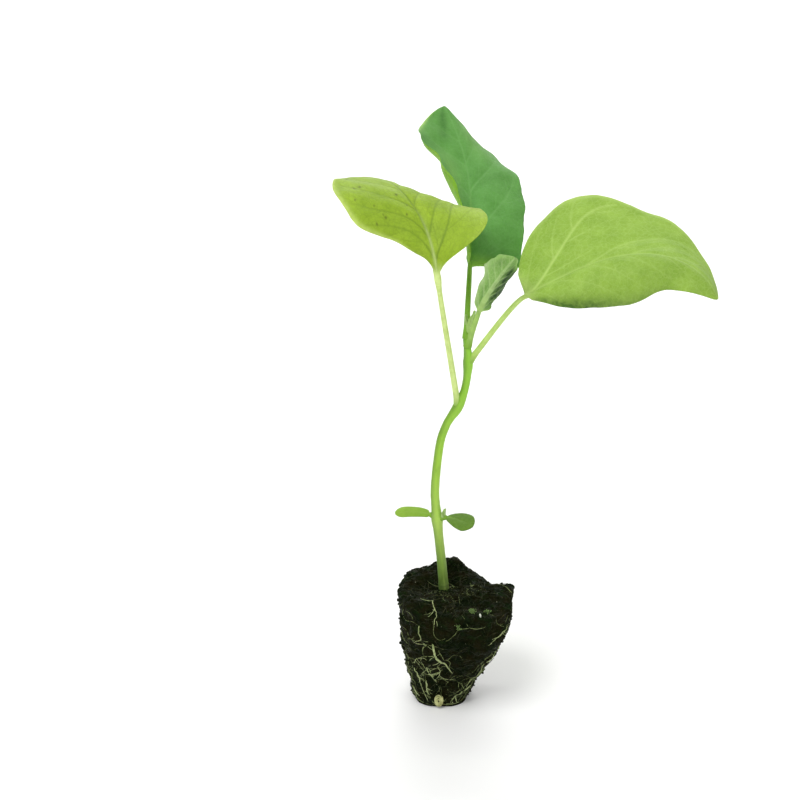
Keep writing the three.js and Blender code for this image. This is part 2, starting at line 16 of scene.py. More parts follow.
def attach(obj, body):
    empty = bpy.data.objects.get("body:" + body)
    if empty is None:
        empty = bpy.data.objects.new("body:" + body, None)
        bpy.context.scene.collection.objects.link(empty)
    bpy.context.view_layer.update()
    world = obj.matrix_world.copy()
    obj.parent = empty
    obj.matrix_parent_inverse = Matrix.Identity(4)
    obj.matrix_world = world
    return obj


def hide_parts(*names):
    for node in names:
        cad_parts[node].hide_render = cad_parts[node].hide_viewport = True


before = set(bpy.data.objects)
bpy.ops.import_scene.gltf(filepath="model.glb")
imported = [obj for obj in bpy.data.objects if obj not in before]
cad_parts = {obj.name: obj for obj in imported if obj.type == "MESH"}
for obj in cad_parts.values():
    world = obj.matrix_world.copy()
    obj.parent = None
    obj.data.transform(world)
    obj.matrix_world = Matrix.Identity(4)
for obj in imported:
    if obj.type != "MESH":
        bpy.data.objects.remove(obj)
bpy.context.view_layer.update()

MM = 0.001
rng = np.random.default_rng(11)

# ---------------------------------------------------------------- shapes: driving dimensions

PLUG_HEIGHT = 45
PLUG_WIDTH = 39
PLUG_DEPTH = 37
PLUG_BASE_WIDTH = 18.5
PLUG_BASE_DEPTH = 18
PLUG_LEAN = (5.2, -3)
PLUG_SQUARENESS = 3
PLUG_LUMPS = 0.035
PLUG_RIM_DROP = 1.5
PLUG_TAPER = [0, 0.23, 0.46, 0.74, 0.96, 1]
PLUG_BEND = [0, 0.05, 0.3, 0.7, 1, 1]
# Mounds and hollows on the plug's top: x, y, height, spread.
TOP_MOUNDS = [
    (4, 13, 4.2, 6),
    (-9, 10, 1.2, 6),
    (21, 14, -8, 9),
    (0, 0, -3, 6),
    (-8, -12, 1, 6),
    (12, -13, -1.5, 7),
]

STEM_HEIGHT = 97.5
CROWN_HEIGHT = 31.2
STEM_DIAMETER = 3.4
STEM_TIP_DIAMETER = 2.4
NODE_SWELLING = 0.45
CROWN_START = STEM_HEIGHT - CROWN_HEIGHT
NODE_COTYLEDONS = 0.44 * CROWN_START
NODE_LEAF_1 = CROWN_START + 5.85
NODE_LEAF_2 = CROWN_START + 21.9
NODE_LEAF_4 = CROWN_START + 27.8
NODE_LEAF_3 = CROWN_START + 30.7
# The stem's course: height above the soil, then its offset along X.
STEM_COURSE = [
    (0, 0.7),
    (NODE_COTYLEDONS, -2),
    (0.6 * CROWN_START, -2.8),
    (0.78 * CROWN_START, -2),
    (0.91 * CROWN_START, -0.8),
    (CROWN_START, 1.3),
    (NODE_LEAF_1, 4.7),
    (CROWN_START + 12.7, 7),
    (NODE_LEAF_2, 7.9),
    (STEM_HEIGHT, 7.2),
]
STEM_START_DEPTH = 20

PETIOLE_DIAMETER = 2.1
PETIOLE_END_DIAMETER = 1.6
PETIOLE_NECK = 0.4
MIDRIB_END_DEPTH = 0.3
BLADE_MIN_HALF_WIDTH = 0.5

# How a blade narrows and its petiole widens where the two meet, as shares of the blade's length and in mm.
NARROWED_SHARE = 0.2
WING_SHARE = 0.3
WING_WIDTH = 1.7
WING_LENGTH = 9

# A blade's lateral veins: where each leaves the midrib and where it ends, as shares of the blade's length,
# how far out it reaches, its bow (1 is straight) and its strength.
YOUNG_VEINS = [(0.03, 0.3, 0.9, 1.2, 0.8), (0.2, 0.52, 0.9, 0.9, 0.9), (0.38, 0.68, 0.9, 0.9, 0.8),
               (0.55, 0.82, 0.88, 0.85, 0.7), (0.7, 0.93, 0.85, 0.8, 0.6)]
COTYLEDON_VEINS = [(0.15, 0.6, 0.8, 1, 0.3)]

# Every leaf's blade starts at its node plus reach, and its petiole leaves the stem in the direction start.
# azimuth, elevation and roll turn the blade from its base to its tip, in degrees.
# A patch of painted light and shade: side, place along and out, length and width (all shares), strength (over
# 0 dark painted shade, under 0 pale painted light).
ANY_LEAF = {"notch_size": 8, "flare": 0.42, "wings": 0, "narrowing": 0, "specks": 0, "light_and_shade_patches": []}
TRUE_LEAF = {
    **ANY_LEAF,
    "petiole": PETIOLE_DIAMETER,
    "petiole_end": PETIOLE_END_DIAMETER,
    "thickness": 0.38,
    "rows": 270,
    "columns": 62,
    "petiole_rows": 56,
    "quilting": 0.34,
    "groove": 0.13,
    "rib": 0.3,
    "ripple": 1.1,
    "notch": 0.4,
    "midrib": 1,
}
COTYLEDON = {
    **ANY_LEAF,
    "node": NODE_COTYLEDONS,
    "petiole": 1.5,
    "petiole_end": 1.5,
    "thickness": 0.7,
    "rows": 110,
    "columns": 26,
    "petiole_rows": 24,
    "quilting": 0.05,
    "groove": 0.08,
    "rib": 0.05,
    "ripple": 0.1,
    "notch": 0.15,
    "midrib": 0.6,
    "sweep": [0, 0],
    "base_rounding": 0.1,
    "tip_rounding": 0.25,
    "veins_left": COTYLEDON_VEINS,
    "veins_right": COTYLEDON_VEINS,
}


def blade_half(half, fold, curl, wave=(0, 0)):
    """One side of a blade: its widths, lean at the midrib, bend outward (degrees) and its margin's wave."""
    return {"half": half, "fold": fold, "curl": curl, "wave": wave}


LEAF_1 = {
    **TRUE_LEAF,
    "node": NODE_LEAF_1,
    "reach": (-7.3, -6, 48.4),
    "start": (215, 80),
    "length": 61,
    "azimuth": [112, 122, 119, 109],
    "elevation": [73, 39, 1, -37],
    "roll": [-33, 2, 27],
    "left": blade_half([1, 6, 15.5, 23, 21.5, 6], [28, -10], [-69, -40, -17], (0.8, 0.7)),
    "right": blade_half([1, 16, 21.5, 22.5, 15.5, 4], [32, -22], [56, -30, -37], (1, 0.54)),
    "sweep": [-0.18, -0.5],
    "base_rounding": 0.06,
    "tip_rounding": 0.12,
    "veins_left": [(0.05, 0.5, 0.92, 1, 0.8), (0.2, 0.66, 0.9, 0.9, 0.8), (0.38, 0.8, 0.88, 0.85, 0.7),
                   (0.56, 0.9, 0.85, 0.85, 0.6), (0.72, 0.96, 0.8, 0.8, 0.5)],
    "veins_right": [(0.03, 0.6, 0.86, 0.95, 1), (0.22, 0.72, 0.9, 0.9, 0.8), (0.42, 0.84, 0.88, 0.85, 0.7),
                    (0.6, 0.93, 0.85, 0.85, 0.6)],
    "ripple": 1.3,
    "wings": 0.5,
    "narrowing": 0.55,
    "specks": 15,
    "light_and_shade_patches": [("left", 0.6, 1, 0.5, 0.06, -0.8), ("left", 0.5, 0.5, 0.25, 0.3, 0.16),
              ("right", 0.75, 0.5, 0.2, 0.3, -0.2), ("right", 0.4, 0.3, 0.2, 0.2, 0.08)],
}
LEAF_2 = {
    **TRUE_LEAF,
    "node": NODE_LEAF_2,
    "reach": (17.2, -5, 25.3),
    "start": (-16, 56),
    "length": 71.3,
    "azimuth": [1, -2, -11, -35],
    "elevation": [31, 24, -7, -60],
    "roll": [-4, -6, -28],
    "left": blade_half([4, 22, 28, 23, 15, 5], [50, 8], [-25, 8, 3], (1.4, 0.99)),
    "right": blade_half([1, 12, 18, 18, 11, 4], [9, -26], [-46, -116, -44], (0.6, 0.64)),
    "sweep": [-0.25, 0],
    "base_rounding": 0.03,
    "tip_rounding": 0.12,
    "veins_left": [(0, 0.27, 0.95, 1.9, 0.5), (0.01, 0.52, 0.9, 0.9, 1.3), (0.31, 0.8, 0.75, 0.66, 0.55),
                   (0.52, 0.9, 0.8, 0.75, 0.25), (0.7, 0.97, 0.8, 0.8, 0.2)],
    "veins_right": [(0.02, 0.2, 0.9, 1.4, 0.3), (0.1, 0.52, 0.88, 1, 0.35), (0.3, 0.68, 0.88, 0.9, 0.3),
                    (0.48, 0.82, 0.86, 0.85, 0.3), (0.66, 0.93, 0.82, 0.85, 0.3)],
    "midrib": 0.6,
    "light_and_shade_patches": [("right", 0.22, 0.97, 0.22, 0.24, 0.85), ("right", 0.6, 1, 0.2, 0.16, 0.3),
              ("right", 0.7, 0.4, 0.2, 0.5, 0.16), ("left", 0.85, 1, 0.3, 0.05, -0.7),
              ("left", 0.35, 1, 0.3, 0.04, -0.5)],
}
LEAF_3 = {
    **TRUE_LEAF,
    "node": NODE_LEAF_3,
    "reach": (1.2, 14, 19.6),
    "start": (88, 74),
    "length": 67.5,
    "azimuth": [87, 89, 104, 119],
    "elevation": [49, 33, 36, 36],
    "roll": [17, -7, 0],
    "left": blade_half([5, 7, 15, 19, 17, 8], [34, -11], [100, 96, 16], (1.9, 0.02)),
    "right": blade_half([19, 18, 19, 18, 12, 5], [17, -14], [-38, -41, -55], (0.4, 0.85)),
    "sweep": [-0.06, -0.06],
    "base_rounding": 0.08,
    "tip_rounding": 0.12,
    "ripple": 2.5,
    "notch": 1.1,
    "notch_size": 11,
    "light_and_shade_patches": [("left", 0.9, 0.28, 0.1, 0.14, 0.55), ("right", 0.15, 0.6, 0.16, 0.5, 0.06),
              ("left", 0.92, 1, 0.08, 0.1, -0.9), ("right", 0.55, 0.45, 0.05, 0.4, 0.2),
              ("left", 0.5, 0.4, 0.2, 0.2, -0.2), ("right", 0.8, 0.5, 0.12, 0.3, -0.15)],
    "veins_left": [(0.04, 0.3, 0.9, 1.2, 0.6), (0.2, 0.5, 0.9, 0.95, 0.7), (0.4, 0.7, 0.9, 0.9, 0.7),
                   (0.6, 0.86, 0.88, 0.85, 0.6), (0.76, 0.96, 0.85, 0.8, 0.5)],
    "veins_right": [(0.03, 0.22, 0.92, 1.3, 0.6), (0.18, 0.56, 0.88, 1.3, 0.9),
                    (0.44, 0.7, 0.88, 0.75, 0.9), (0.62, 0.88, 0.88, 0.8, 0.6), (0.78, 0.97, 0.85, 0.8, 0.5)],
}
LEAF_4 = {
    **TRUE_LEAF,
    "node": NODE_LEAF_4,
    "reach": (3.5, -3, 13.7),
    "start": (-40, 72),
    "length": 28.2,
    "azimuth": [-50, -49, -47, -46],
    "elevation": [65, 57, 54, 48],
    "roll": [-42, -46, -42],
    "left": blade_half([3.6, 4, 6, 7.5, 6, 3.5], [24, 25], [7, 31, 15], (0.36, 0.15)),
    "right": blade_half([2.6, 4.7, 6, 7.6, 5.8, 2.6], [37, 38], [38, 38, 12], (0.37, 0.31)),
    "sweep": [-0.3, -0.41],
    "base_rounding": 0.08,
    "tip_rounding": 0.15,
    "rows": 180,
    "columns": 44,
    "petiole_rows": 40,
    "quilting": 0.4,
    "ripple": 0.9,
    "notch": 1.5,
    "notch_size": 3.2,
    "light_and_shade_patches": [("left", 0.4, 0.7, 0.26, 0.5, 1.3), ("left", 0.7, 0.6, 0.16, 0.4, 1),
              ("left", 0.9, 0.9, 0.16, 0.3, -0.5), ("right", 0.4, 0.95, 0.5, 0.3, -0.7),
              ("right", 0.82, 0.55, 0.12, 0.5, 0.35), ("right", 0.3, 0.3, 0.16, 0.2, 0.3)],
    "veins_left": YOUNG_VEINS,
    "veins_right": YOUNG_VEINS,
}
PALE_COTYLEDON_HALF = blade_half([1.5, 2.1, 2.3, 2.3, 2], [10, 6], [-14, -10])
COTYLEDON_LEFT = {
    **COTYLEDON,
    "reach": (-2.4, 0.3, 1.6),
    "start": (176, 40),
    "length": 12.2,
    "azimuth": [176, 178, 182],
    "elevation": [16, 0, -12],
    "roll": [-16, -18, -20],
    "left": PALE_COTYLEDON_HALF,
    "right": PALE_COTYLEDON_HALF,
}
DEEP_COTYLEDON_HALF = blade_half([0.9, 2.6, 3.7, 3.9, 3], [8, 4], [-10, -12])
COTYLEDON_RIGHT = {
    **COTYLEDON,
    "reach": (3.2, -1.4, 1.3),
    "start": (-25, 25),
    "length": 10.5,
    "azimuth": [-28, -30, -34],
    "elevation": [8, -4, -14],
    "roll": [14, 16, 18],
    "left": DEEP_COTYLEDON_HALF,
    "right": DEEP_COTYLEDON_HALF,
}

# ---------------------------------------------------------------- shapes: formulas


def profile(values, u):
    """A smooth curve through evenly spaced values, read at u from 0 to 1."""
    v = np.asarray(values, float)
    last = len(v) - 1
    place = np.clip(u, 0, 1) * last
    i = np.minimum(np.floor(place).astype(int), last - 1)
    t = place - i
    padded = np.concatenate([[2 * v[0] - v[1]], v, [2 * v[-1] - v[-2]]])
    before, a, b, after = padded[i], padded[i + 1], padded[i + 2], padded[i + 3]
    square = 2 * before - 5 * a + 4 * b - after
    cube = -before + 3 * a - 3 * b + after
    return 0.5 * (2 * a + (b - before) * t + square * t**2 + cube * t**3)


def smoothstep(low, high, x):
    t = np.clip((x - low) / (high - low), 0, 1)
    return t * t * (3 - 2 * t)


def unit(v):
    return v / np.maximum(np.linalg.norm(v, axis=-1, keepdims=True), 1e-12)


def direction(azimuth, elevation):
    """Unit vectors from angles in degrees."""
    a, e = np.radians(azimuth), np.radians(elevation)
    return np.stack([np.cos(e) * np.cos(a), np.cos(e) * np.sin(a), np.sin(e) + 0 * a], -1)


def smooth_route(places, count):
    """Evenly spaced points on a centripetal Catmull-Rom curve through the places."""
    p = np.asarray(places, float)
    p = np.concatenate([[2 * p[0] - p[1]], p, [2 * p[-1] - p[-2]]])
    dense = []
    for i in range(1, len(p) - 2):
        x0, x1, x2, x3 = p[i - 1 : i + 3]
        d0, d1, d2 = (np.sqrt(np.linalg.norm(b - a)) for a, b in ((x0, x1), (x1, x2), (x2, x3)))
        m1 = d1 * ((x1 - x0) / d0 - (x2 - x0) / (d0 + d1) + (x2 - x1) / d1)
        m2 = d1 * ((x2 - x1) / d1 - (x3 - x1) / (d1 + d2) + (x3 - x2) / d2)
        t = np.linspace(0, 1, 60, endpoint=False)[:, None]
        dense.append(x1 + m1 * t + (3 * (x2 - x1) - 2 * m1 - m2) * t**2 + (2 * (x1 - x2) + m1 + m2) * t**3)
    dense = np.concatenate([*dense, p[-2:-1]])
    length = np.concatenate([[0], np.cumsum(np.linalg.norm(np.diff(dense, axis=0), axis=1))])
    even = np.linspace(0, length[-1], count)
    return np.stack([np.interp(even, length, dense[:, k]) for k in range(3)], -1)


def top_height(x, y):
    height = PLUG_HEIGHT + 0 * x
    for mound_x, mound_y, rise, reach in TOP_MOUNDS:
        height = height + rise * np.exp(-((x - mound_x) ** 2 + (y - mound_y) ** 2) / reach**2)
    return height


def plug_point(angle, rise):
    """Points on the plug's skin, from angles in radians and rises: 0 base edge, 1 rim, 2 top's middle."""
    side = np.minimum(rise, 1)
    inward = 1 - np.maximum(rise - 1, 0)
    grown = profile(PLUG_TAPER, side)
    bend = profile(PLUG_BEND, side)
    half_width = (PLUG_BASE_WIDTH + (PLUG_WIDTH - PLUG_BASE_WIDTH) * grown) / 2
    half_depth = (PLUG_BASE_DEPTH + (PLUG_DEPTH - PLUG_BASE_DEPTH) * grown) / 2
    c, s, n = np.cos(angle), np.sin(angle), PLUG_SQUARENESS
    squared = (np.abs(c) ** n + np.abs(s) ** n) ** (-1 / n)
    slow, quick = np.sin(3 * angle + 5 * side + 0.6), np.sin(7 * angle - 9 * side + 2)
    lumps = 1 + PLUG_LUMPS * np.minimum(side * 3, 1) * (0.6 * slow + 0.4 * quick)
    x = PLUG_LEAN[0] * bend + half_width * c * squared * lumps * inward
    y = PLUG_LEAN[1] * bend + half_depth * s * squared * lumps * inward
    z = side * (top_height(x, y) - PLUG_RIM_DROP * inward**4)
    return np.stack([x, y, z], -1)


def plug_normal(angle, rise):
    step = 0.02
    around = plug_point(angle + step, rise) - plug_point(angle - step, rise)
    upward = plug_point(angle, rise + step) - plug_point(angle, rise - step)
    return unit(np.cross(around, upward))


SOIL_LEVEL = float(top_height(np.array(STEM_COURSE[0][1]), np.array(0.0)))
STEM_LINE = smooth_route(
    [(STEM_COURSE[0][1] + 0.6, 0, SOIL_LEVEL - STEM_START_DEPTH)]
    + [(x, 0, SOIL_LEVEL + height) for height, x in STEM_COURSE],
    420,
)


def stem_point(height):
    """The stem's centre at a height above the soil."""
    return np.array([np.interp(SOIL_LEVEL + height, STEM_LINE[:, 2], STEM_LINE[:, k]) for k in range(3)])


def stem_radius(height):
    swelling = 0
    for node in (NODE_COTYLEDONS, NODE_LEAF_1, NODE_LEAF_2):
        swelling = swelling + NODE_SWELLING * np.exp(-(((height - node) / STEM_DIAMETER) ** 2))
    share = np.clip(height / STEM_HEIGHT, 0, 1)
    return (STEM_DIAMETER + (STEM_TIP_DIAMETER - STEM_DIAMETER) * share) / 2 + swelling


def blade_base(leaf):
    return stem_point(leaf["node"]) + np.array(leaf["reach"])


def petiole_line(leaf, share):
    """Points and tangents of the petiole, from inside the stem to the blade's base."""
    start = stem_point(leaf["node"])
    end = blade_base(leaf)
    pull = np.linalg.norm(end - start) / 3
    a = start + direction(*leaf["start"]) * pull
    b = end - direction(leaf["azimuth"][0], leaf["elevation"][0]) * pull * PETIOLE_NECK
    t = share[:, None]
    points = start * (1 - t) ** 3 + 3 * a * t * (1 - t) ** 2 + 3 * b * t**2 * (1 - t) + end * t**3
    tangents = 3 * (a - start) * (1 - t) ** 2 + 6 * (b - a) * t * (1 - t) + 3 * (end - b) * t**2
    return points, unit(tangents)


def blade_frame(leaf, u):
    """The blade's directions at u: along the midrib, across to the left, and up from the upper side."""
    azimuth = profile(leaf["azimuth"], u)
    along = direction(azimuth, profile(leaf["elevation"], u))
    a = np.radians(azimuth)
    level = np.stack([-np.sin(a), np.cos(a), 0 * a], -1)
    roll = np.radians(profile(leaf["roll"], u))[:, None]
    across = level * np.cos(roll) + np.cross(along, level) * np.sin(roll)
    return along, across, np.cross(along, across)


def rounded_end(distance, share):
    return np.sqrt(1 - (1 - np.clip(distance / share, 0, 1)) ** 2)


def half_width(leaf, side, u):
    size, phase = side["wave"]
    wave = size * np.sin(np.pi * u) * np.sin(2 * np.pi * (3 * u + phase))
    plain = np.maximum(profile(side["half"], u) + wave, 0)
    ends = rounded_end(u, leaf["base_rounding"]) * rounded_end(1 - u, leaf["tip_rounding"])
    narrowed = 1 - leaf["narrowing"] * (1 - smoothstep(0, NARROWED_SHARE, u))
    least = BLADE_MIN_HALF_WIDTH + WING_WIDTH * leaf["wings"] * (1 - smoothstep(0, WING_SHARE, u))
    return np.maximum(plain * ends * narrowed, least)


def blade_side(leaf, u, s, middle, side, sign):
    """A side's middle surface, its upward and outward directions, and its places on the flattened blade."""
    along, across, normal = (v[:, None] for v in blade_frame(leaf, u))
    width = half_width(leaf, side, u)[:, None]
    fold = np.radians(profile(side["fold"], u))[:, None]
    curl = np.radians(profile(side["curl"], u))[:, None]
    curl = np.where(np.abs(curl) < 1e-4, 1e-4, curl)
    sweep = profile(leaf["sweep"], u)[:, None]
    lean = fold + curl * s
    out = width * (np.sin(lean) - np.sin(fold)) / curl
    up = width * (np.cos(fold) - np.cos(lean)) / curl
    forward = sweep * s * width
    points = middle[:, None] + across * (sign * out)[..., None] + normal * up[..., None]
    points = points + along * forward[..., None]
    face = normal * np.cos(lean)[..., None] - across * (sign * np.sin(lean))[..., None]
    outward = normal * np.sin(lean)[..., None] + across * (sign * np.cos(lean))[..., None]
    flat = np.stack([u[:, None] * leaf["length"] + forward, sign * s * width], -1)
    return points, face, outward, flat


# ---------------------------------------------------------------- meshes


def loft(rings):
    """Closed mesh over rings of points that run counter-clockwise seen from the last ring's end."""
    n, m, _ = rings.shape
    index = np.arange(n * m).reshape(n, m)
    after = np.roll(index, -1, axis=1)
    quads = np.stack([index[:-1], after[:-1], after[1:], index[1:]], -1).reshape(-1, 4).tolist()
    first = np.stack([after[0], index[0], np.full(m, n * m)], -1).tolist()
    last = np.stack([index[-1], after[-1], np.full(m, n * m + 1)], -1).tolist()
    return np.concatenate([rings.reshape(-1, 3), rings[[0, -1]].mean(1)]), quads + first + last


def bar_rings(line, radii, sides, ridges=None):
    """Rings around a line of points; ridges is an extra radius for each ring and side."""
    tangent = unit(np.gradient(line, axis=0))
    normal = np.zeros_like(line)
    guess = np.array([0, 0, 1.0]) if abs(tangent[0][2]) < 0.9 else np.array([1.0, 0, 0])
    for i, along in enumerate(tangent):
        guess = unit(guess - along * (guess @ along))
        normal[i] = guess
    binormal = np.cross(tangent, normal)
    angle = np.arange(sides) * 2 * np.pi / sides
    radius = np.broadcast_to(np.asarray(radii, float)[:, None], (len(line), sides))
    if ridges is not None:
        radius = radius + ridges
    x, y = (radius * np.cos(angle))[..., None], (radius * np.sin(angle))[..., None]
    return line[:, None] + normal[:, None] * x + binormal[:, None] * y


def joined(shapes):
    """One mesh from several."""
    verts, faces, start = [], [], 0
    for points, polygons in shapes:
        verts.append(points)
        faces += [[i + start for i in polygon] for polygon in polygons]
        start += len(points)
    return np.concatenate(verts), faces


def spread(points, size, seed):
    """Smooth noise from -1 to 1 at points, with features of a size in millimetres."""
    shifted = (np.asarray(points, float).reshape(-1, 3) + seed * 37.3) / size
    values = np.array([noise.noise(p) for p in shifted.tolist()])
    return values.reshape(np.shape(points)[:-1])


def add_piece(name, shape, material, nodes=(), values=None, places=None):
    """A piece that rides on the seedling, with per-point values for its material."""
    verts, faces = shape
    mesh = bpy.data.meshes.new(name)
    mesh.from_pydata((verts * MM).tolist(), [], faces)
    mesh.polygons.foreach_set("use_smooth", np.ones(len(mesh.polygons), bool))
    for key, data in (values or {}).items():
        attribute = mesh.attributes.new(key, "FLOAT", "POINT")
        attribute.data.foreach_set("value", np.asarray(data, np.float32).ravel())
    if places is not None:
        attribute = mesh.attributes.new("place", "FLOAT_VECTOR", "POINT")
        attribute.data.foreach_set("vector", np.asarray(places, np.float32).ravel())
    mesh.materials.append(material)
    mesh.update()
    piece = bpy.data.objects.new(name, mesh)
    bpy.context.scene.collection.objects.link(piece)
    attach(piece, "root")
    if nodes:
        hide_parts(*nodes)


# ---------------------------------------------------------------- materials


class Shading:
    """Short ways to wire a material's nodes."""

    def __init__(self, name):
        self.material = bpy.data.materials.new(name)
        self.material.use_nodes = True
        self.tree = self.material.node_tree
        self.tree.nodes.clear()

    def node(self, kind, inputs=None, **settings):
        node = self.tree.nodes.new(kind)
        for key, value in settings.items():
            setattr(node, key, value)
        for key, value in (inputs or {}).items():
            if isinstance(value, bpy.types.NodeSocket):
                self.tree.links.new(value, node.inputs[key])
            else:
                node.inputs[key].default_value = value
        return node

    def value(self, name):
        return self.node("ShaderNodeAttribute", attribute_name=name).outputs["Fac"]

    def place(self):
        return self.node("ShaderNodeAttribute", attribute_name="place").outputs["Vector"]

    def object_place(self):
        """The place on the object, in millimetres."""
        place = self.node("ShaderNodeTexCoord").outputs["Object"]
        return self.node("ShaderNodeVectorMath", {0: place, "Scale": 1 / MM}, operation="SCALE").outputs[0]

    def noise(self, place, size, detail=3, rough=0.55):
        inputs = {"Vector": place, "Scale": 1 / size, "Detail": detail, "Roughness": rough}
        return self.node("ShaderNodeTexNoise", inputs).outputs["Fac"]

    def cells(self, place, size, feature="DISTANCE_TO_EDGE"):
        inputs = {"Vector": place, "Scale": 1 / size}
        return self.node("ShaderNodeTexVoronoi", inputs, feature=feature).outputs["Distance"]

    def remap(self, value, low, high, to_low=0.0, to_high=1.0):
        inputs = {"Value": value, "From Min": low, "From Max": high, "To Min": to_low, "To Max": to_high}
        return self.node("ShaderNodeMapRange", inputs).outputs["Result"]

    def math(self, operation, a, b):
        return self.node("ShaderNodeMath", {0: a, 1: b}, operation=operation).outputs[0]

    def times(self, a, b):
        return self.math("MULTIPLY", a, b)

    def mix(self, factor, a, b):
        """Colour a where the factor is 0 and b where it is 1."""
        return self.node("ShaderNodeMix", {0: factor, 6: a, 7: b}, data_type="RGBA").outputs[2]

    def ramp(self, factor, stops):
        node = self.node("ShaderNodeValToRGB", {"Fac": factor})
        elements = node.color_ramp.elements
        for (position, colour), element in zip(stops[:2], elements):
            element.position, element.color = position, colour
        for position, colour in stops[2:]:
            elements.new(position).color = colour
        return node.outputs["Color"]

    def bump(self, height, strength, distance, before=None):
        inputs = {"Height": height, "Strength": strength, "Distance": distance * MM}
        if before is not None:
            inputs["Normal"] = before
        return self.node("ShaderNodeBump", inputs).outputs["Normal"]

    def finish(self, colour, roughness, normal=None, glow=0.0, **sockets):
        """The finished material: a surface that may let a share of the light glow through."""
        inputs = {"Base Color": colour, "Roughness": roughness}
        inputs.update({key.replace("_", " "): value for key, value in sockets.items()})
        if normal is not None:
            inputs["Normal"] = normal
        surface = self.node("ShaderNodeBsdfPrincipled", inputs).outputs["BSDF"]
        if glow:
            through = self.node("ShaderNodeBsdfTranslucent", {"Color": colour})
            if normal is not None:
                self.tree.links.new(normal, through.inputs["Normal"])
            mixed = self.node("ShaderNodeMixShader", {"Fac": glow})
            self.tree.links.new(surface, mixed.inputs[1])
            self.tree.links.new(through.outputs[0], mixed.inputs[2])
            surface = mixed.outputs[0]
        output = self.node("ShaderNodeOutputMaterial")
        self.tree.links.new(surface, output.inputs["Surface"])
        return self.material


def srgb(red, green, blue):
    """A colour given as a screen shows it, from 0 to 255."""
    values = [c / 255 for c in (red, green, blue)]
    return (*[v / 12.92 if v <= 0.04045 else ((v + 0.055) / 1.055) ** 2.4 for v in values], 1)


def leaf_material(name, colours, vein_show=1.0, down=0.0):
    """A blade with veins, a fine net between them, soft patches, painted shade and painted light, and a
    petiole of its own colour.
    """
    m = Shading(name)
    light, dark, vein, under, stalk, painted_shade_colour, pale = (srgb(*colour) for colour in colours)
    place = m.place()
    veins, net = m.value("vein"), m.cells(place, 1.7)
    mesh_lines = m.remap(net, 0.0, 0.07, 1.0, 0.0)
    fine_lines = m.remap(m.cells(place, 0.7), 0.0, 0.09, 1.0, 0.0)
    patches, mottle = m.noise(place, 7, 4), m.noise(place, 1.1, 3)
    colour = m.mix(m.remap(patches, 0.34, 0.68), dark, light)
    colour = m.mix(m.remap(mottle, 0.35, 0.75, 0.0, 0.25 + down), colour, vein)
    colour = m.mix(m.remap(m.noise(place, 0.8, 3), 0.5, 0.75, 0.0, 0.35 + down), colour, dark)
    colour = m.mix(m.times(mesh_lines, 0.3 * vein_show), colour, vein)
    colour = m.mix(m.times(fine_lines, 0.16 * vein_show), colour, vein)
    colour = m.mix(m.times(veins, vein_show), colour, vein)
    colour = m.mix(m.times(m.value("speck"), 0.8), colour, srgb(84, 92, 30))
    lower = m.mix(m.times(veins, 0.8), under, vein)
    lower = m.mix(m.times(mesh_lines, 0.3), lower, vein)
    lower = m.mix(m.remap(mottle, 0.3, 0.8, 0.0, 0.3), lower, dark)
    colour = m.mix(m.value("under"), colour, lower)
    # Painted shade where the shade value is and painted light where the pale value is, with ragged edges that
    # fade over the veins.
    light_and_shade_edge = m.remap(m.noise(place, 1.8, 4), 0.3, 0.7, 0.65, 1.35)
    light_and_shade_edge = m.times(light_and_shade_edge, m.remap(veins, 0.0, 1.0, 1.0, 0.35))
    colour = m.mix(m.times(m.value("shade"), light_and_shade_edge), colour, painted_shade_colour)
    colour = m.mix(m.times(m.value("pale"), light_and_shade_edge), colour, pale)
    stalk_colour = m.mix(m.remap(m.noise(place, 2.5, 3), 0.4, 0.75, 0.0, 0.35), stalk, dark)
    stalk_colour = m.mix(m.value("joint"), stalk_colour, srgb(138, 188, 62))
    colour = m.mix(m.value("stalk"), colour, stalk_colour)
    rough = m.remap(mottle, 0.2, 0.8, 0.45 + down, 0.62 + down)
    height = m.math("SUBTRACT", m.remap(mottle, 0, 1, 0, 0.5), m.times(mesh_lines, 0.5))
    normal = m.bump(height, 0.6, 0.14)
    normal = m.bump(m.noise(place, 0.28, 2), 0.3, 0.05, normal)
    return m.finish(colour, rough, normal, 0.2, Specular_IOR_Level=0.26, Sheen_Weight=0.03 + down)


def stem_material():
    m = Shading("stem_green")
    height, place = m.value("height"), m.place()
    colour = m.ramp(height, [
        (0.0, srgb(60, 76, 32)),
        (0.03, srgb(84, 108, 44)),
        (0.12, srgb(116, 148, 54)),
        (0.28, srgb(176, 212, 92)),
        (0.5, srgb(154, 200, 56)),
        (1.0, srgb(136, 198, 52)),
    ])
    stretched = m.node("ShaderNodeMapping", {"Vector": place, "Scale": (1, 1, 0.12)}).outputs[0]
    streaks = m.noise(stretched, 0.7, 4)
    colour = m.mix(m.remap(streaks, 0.35, 0.75, 0.0, 0.3), colour, srgb(182, 214, 104))
    colour = m.mix(m.remap(m.noise(place, 4, 3), 0.5, 0.75, 0.0, 0.35), colour, srgb(112, 152, 60))
    colour = m.mix(m.value("scar"), colour, srgb(60, 78, 36))
    # Painted shade down one side of the stem.
    colour = m.mix(m.value("painted_shade_side"), colour, srgb(78, 112, 34))
    normal = m.bump(streaks, 0.5, 0.15)
    normal = m.bump(m.noise(place, 0.2, 2), 0.35, 0.05, normal)
    rough = m.remap(streaks, 0.2, 0.8, 0.4, 0.58)
    return m.finish(colour, rough, normal, Specular_IOR_Level=0.3, Subsurface_Weight=0.15,
                    Subsurface_Radius=(1, 1.4, 0.4), Subsurface_Scale=0.6 * MM, Sheen_Weight=0.04)


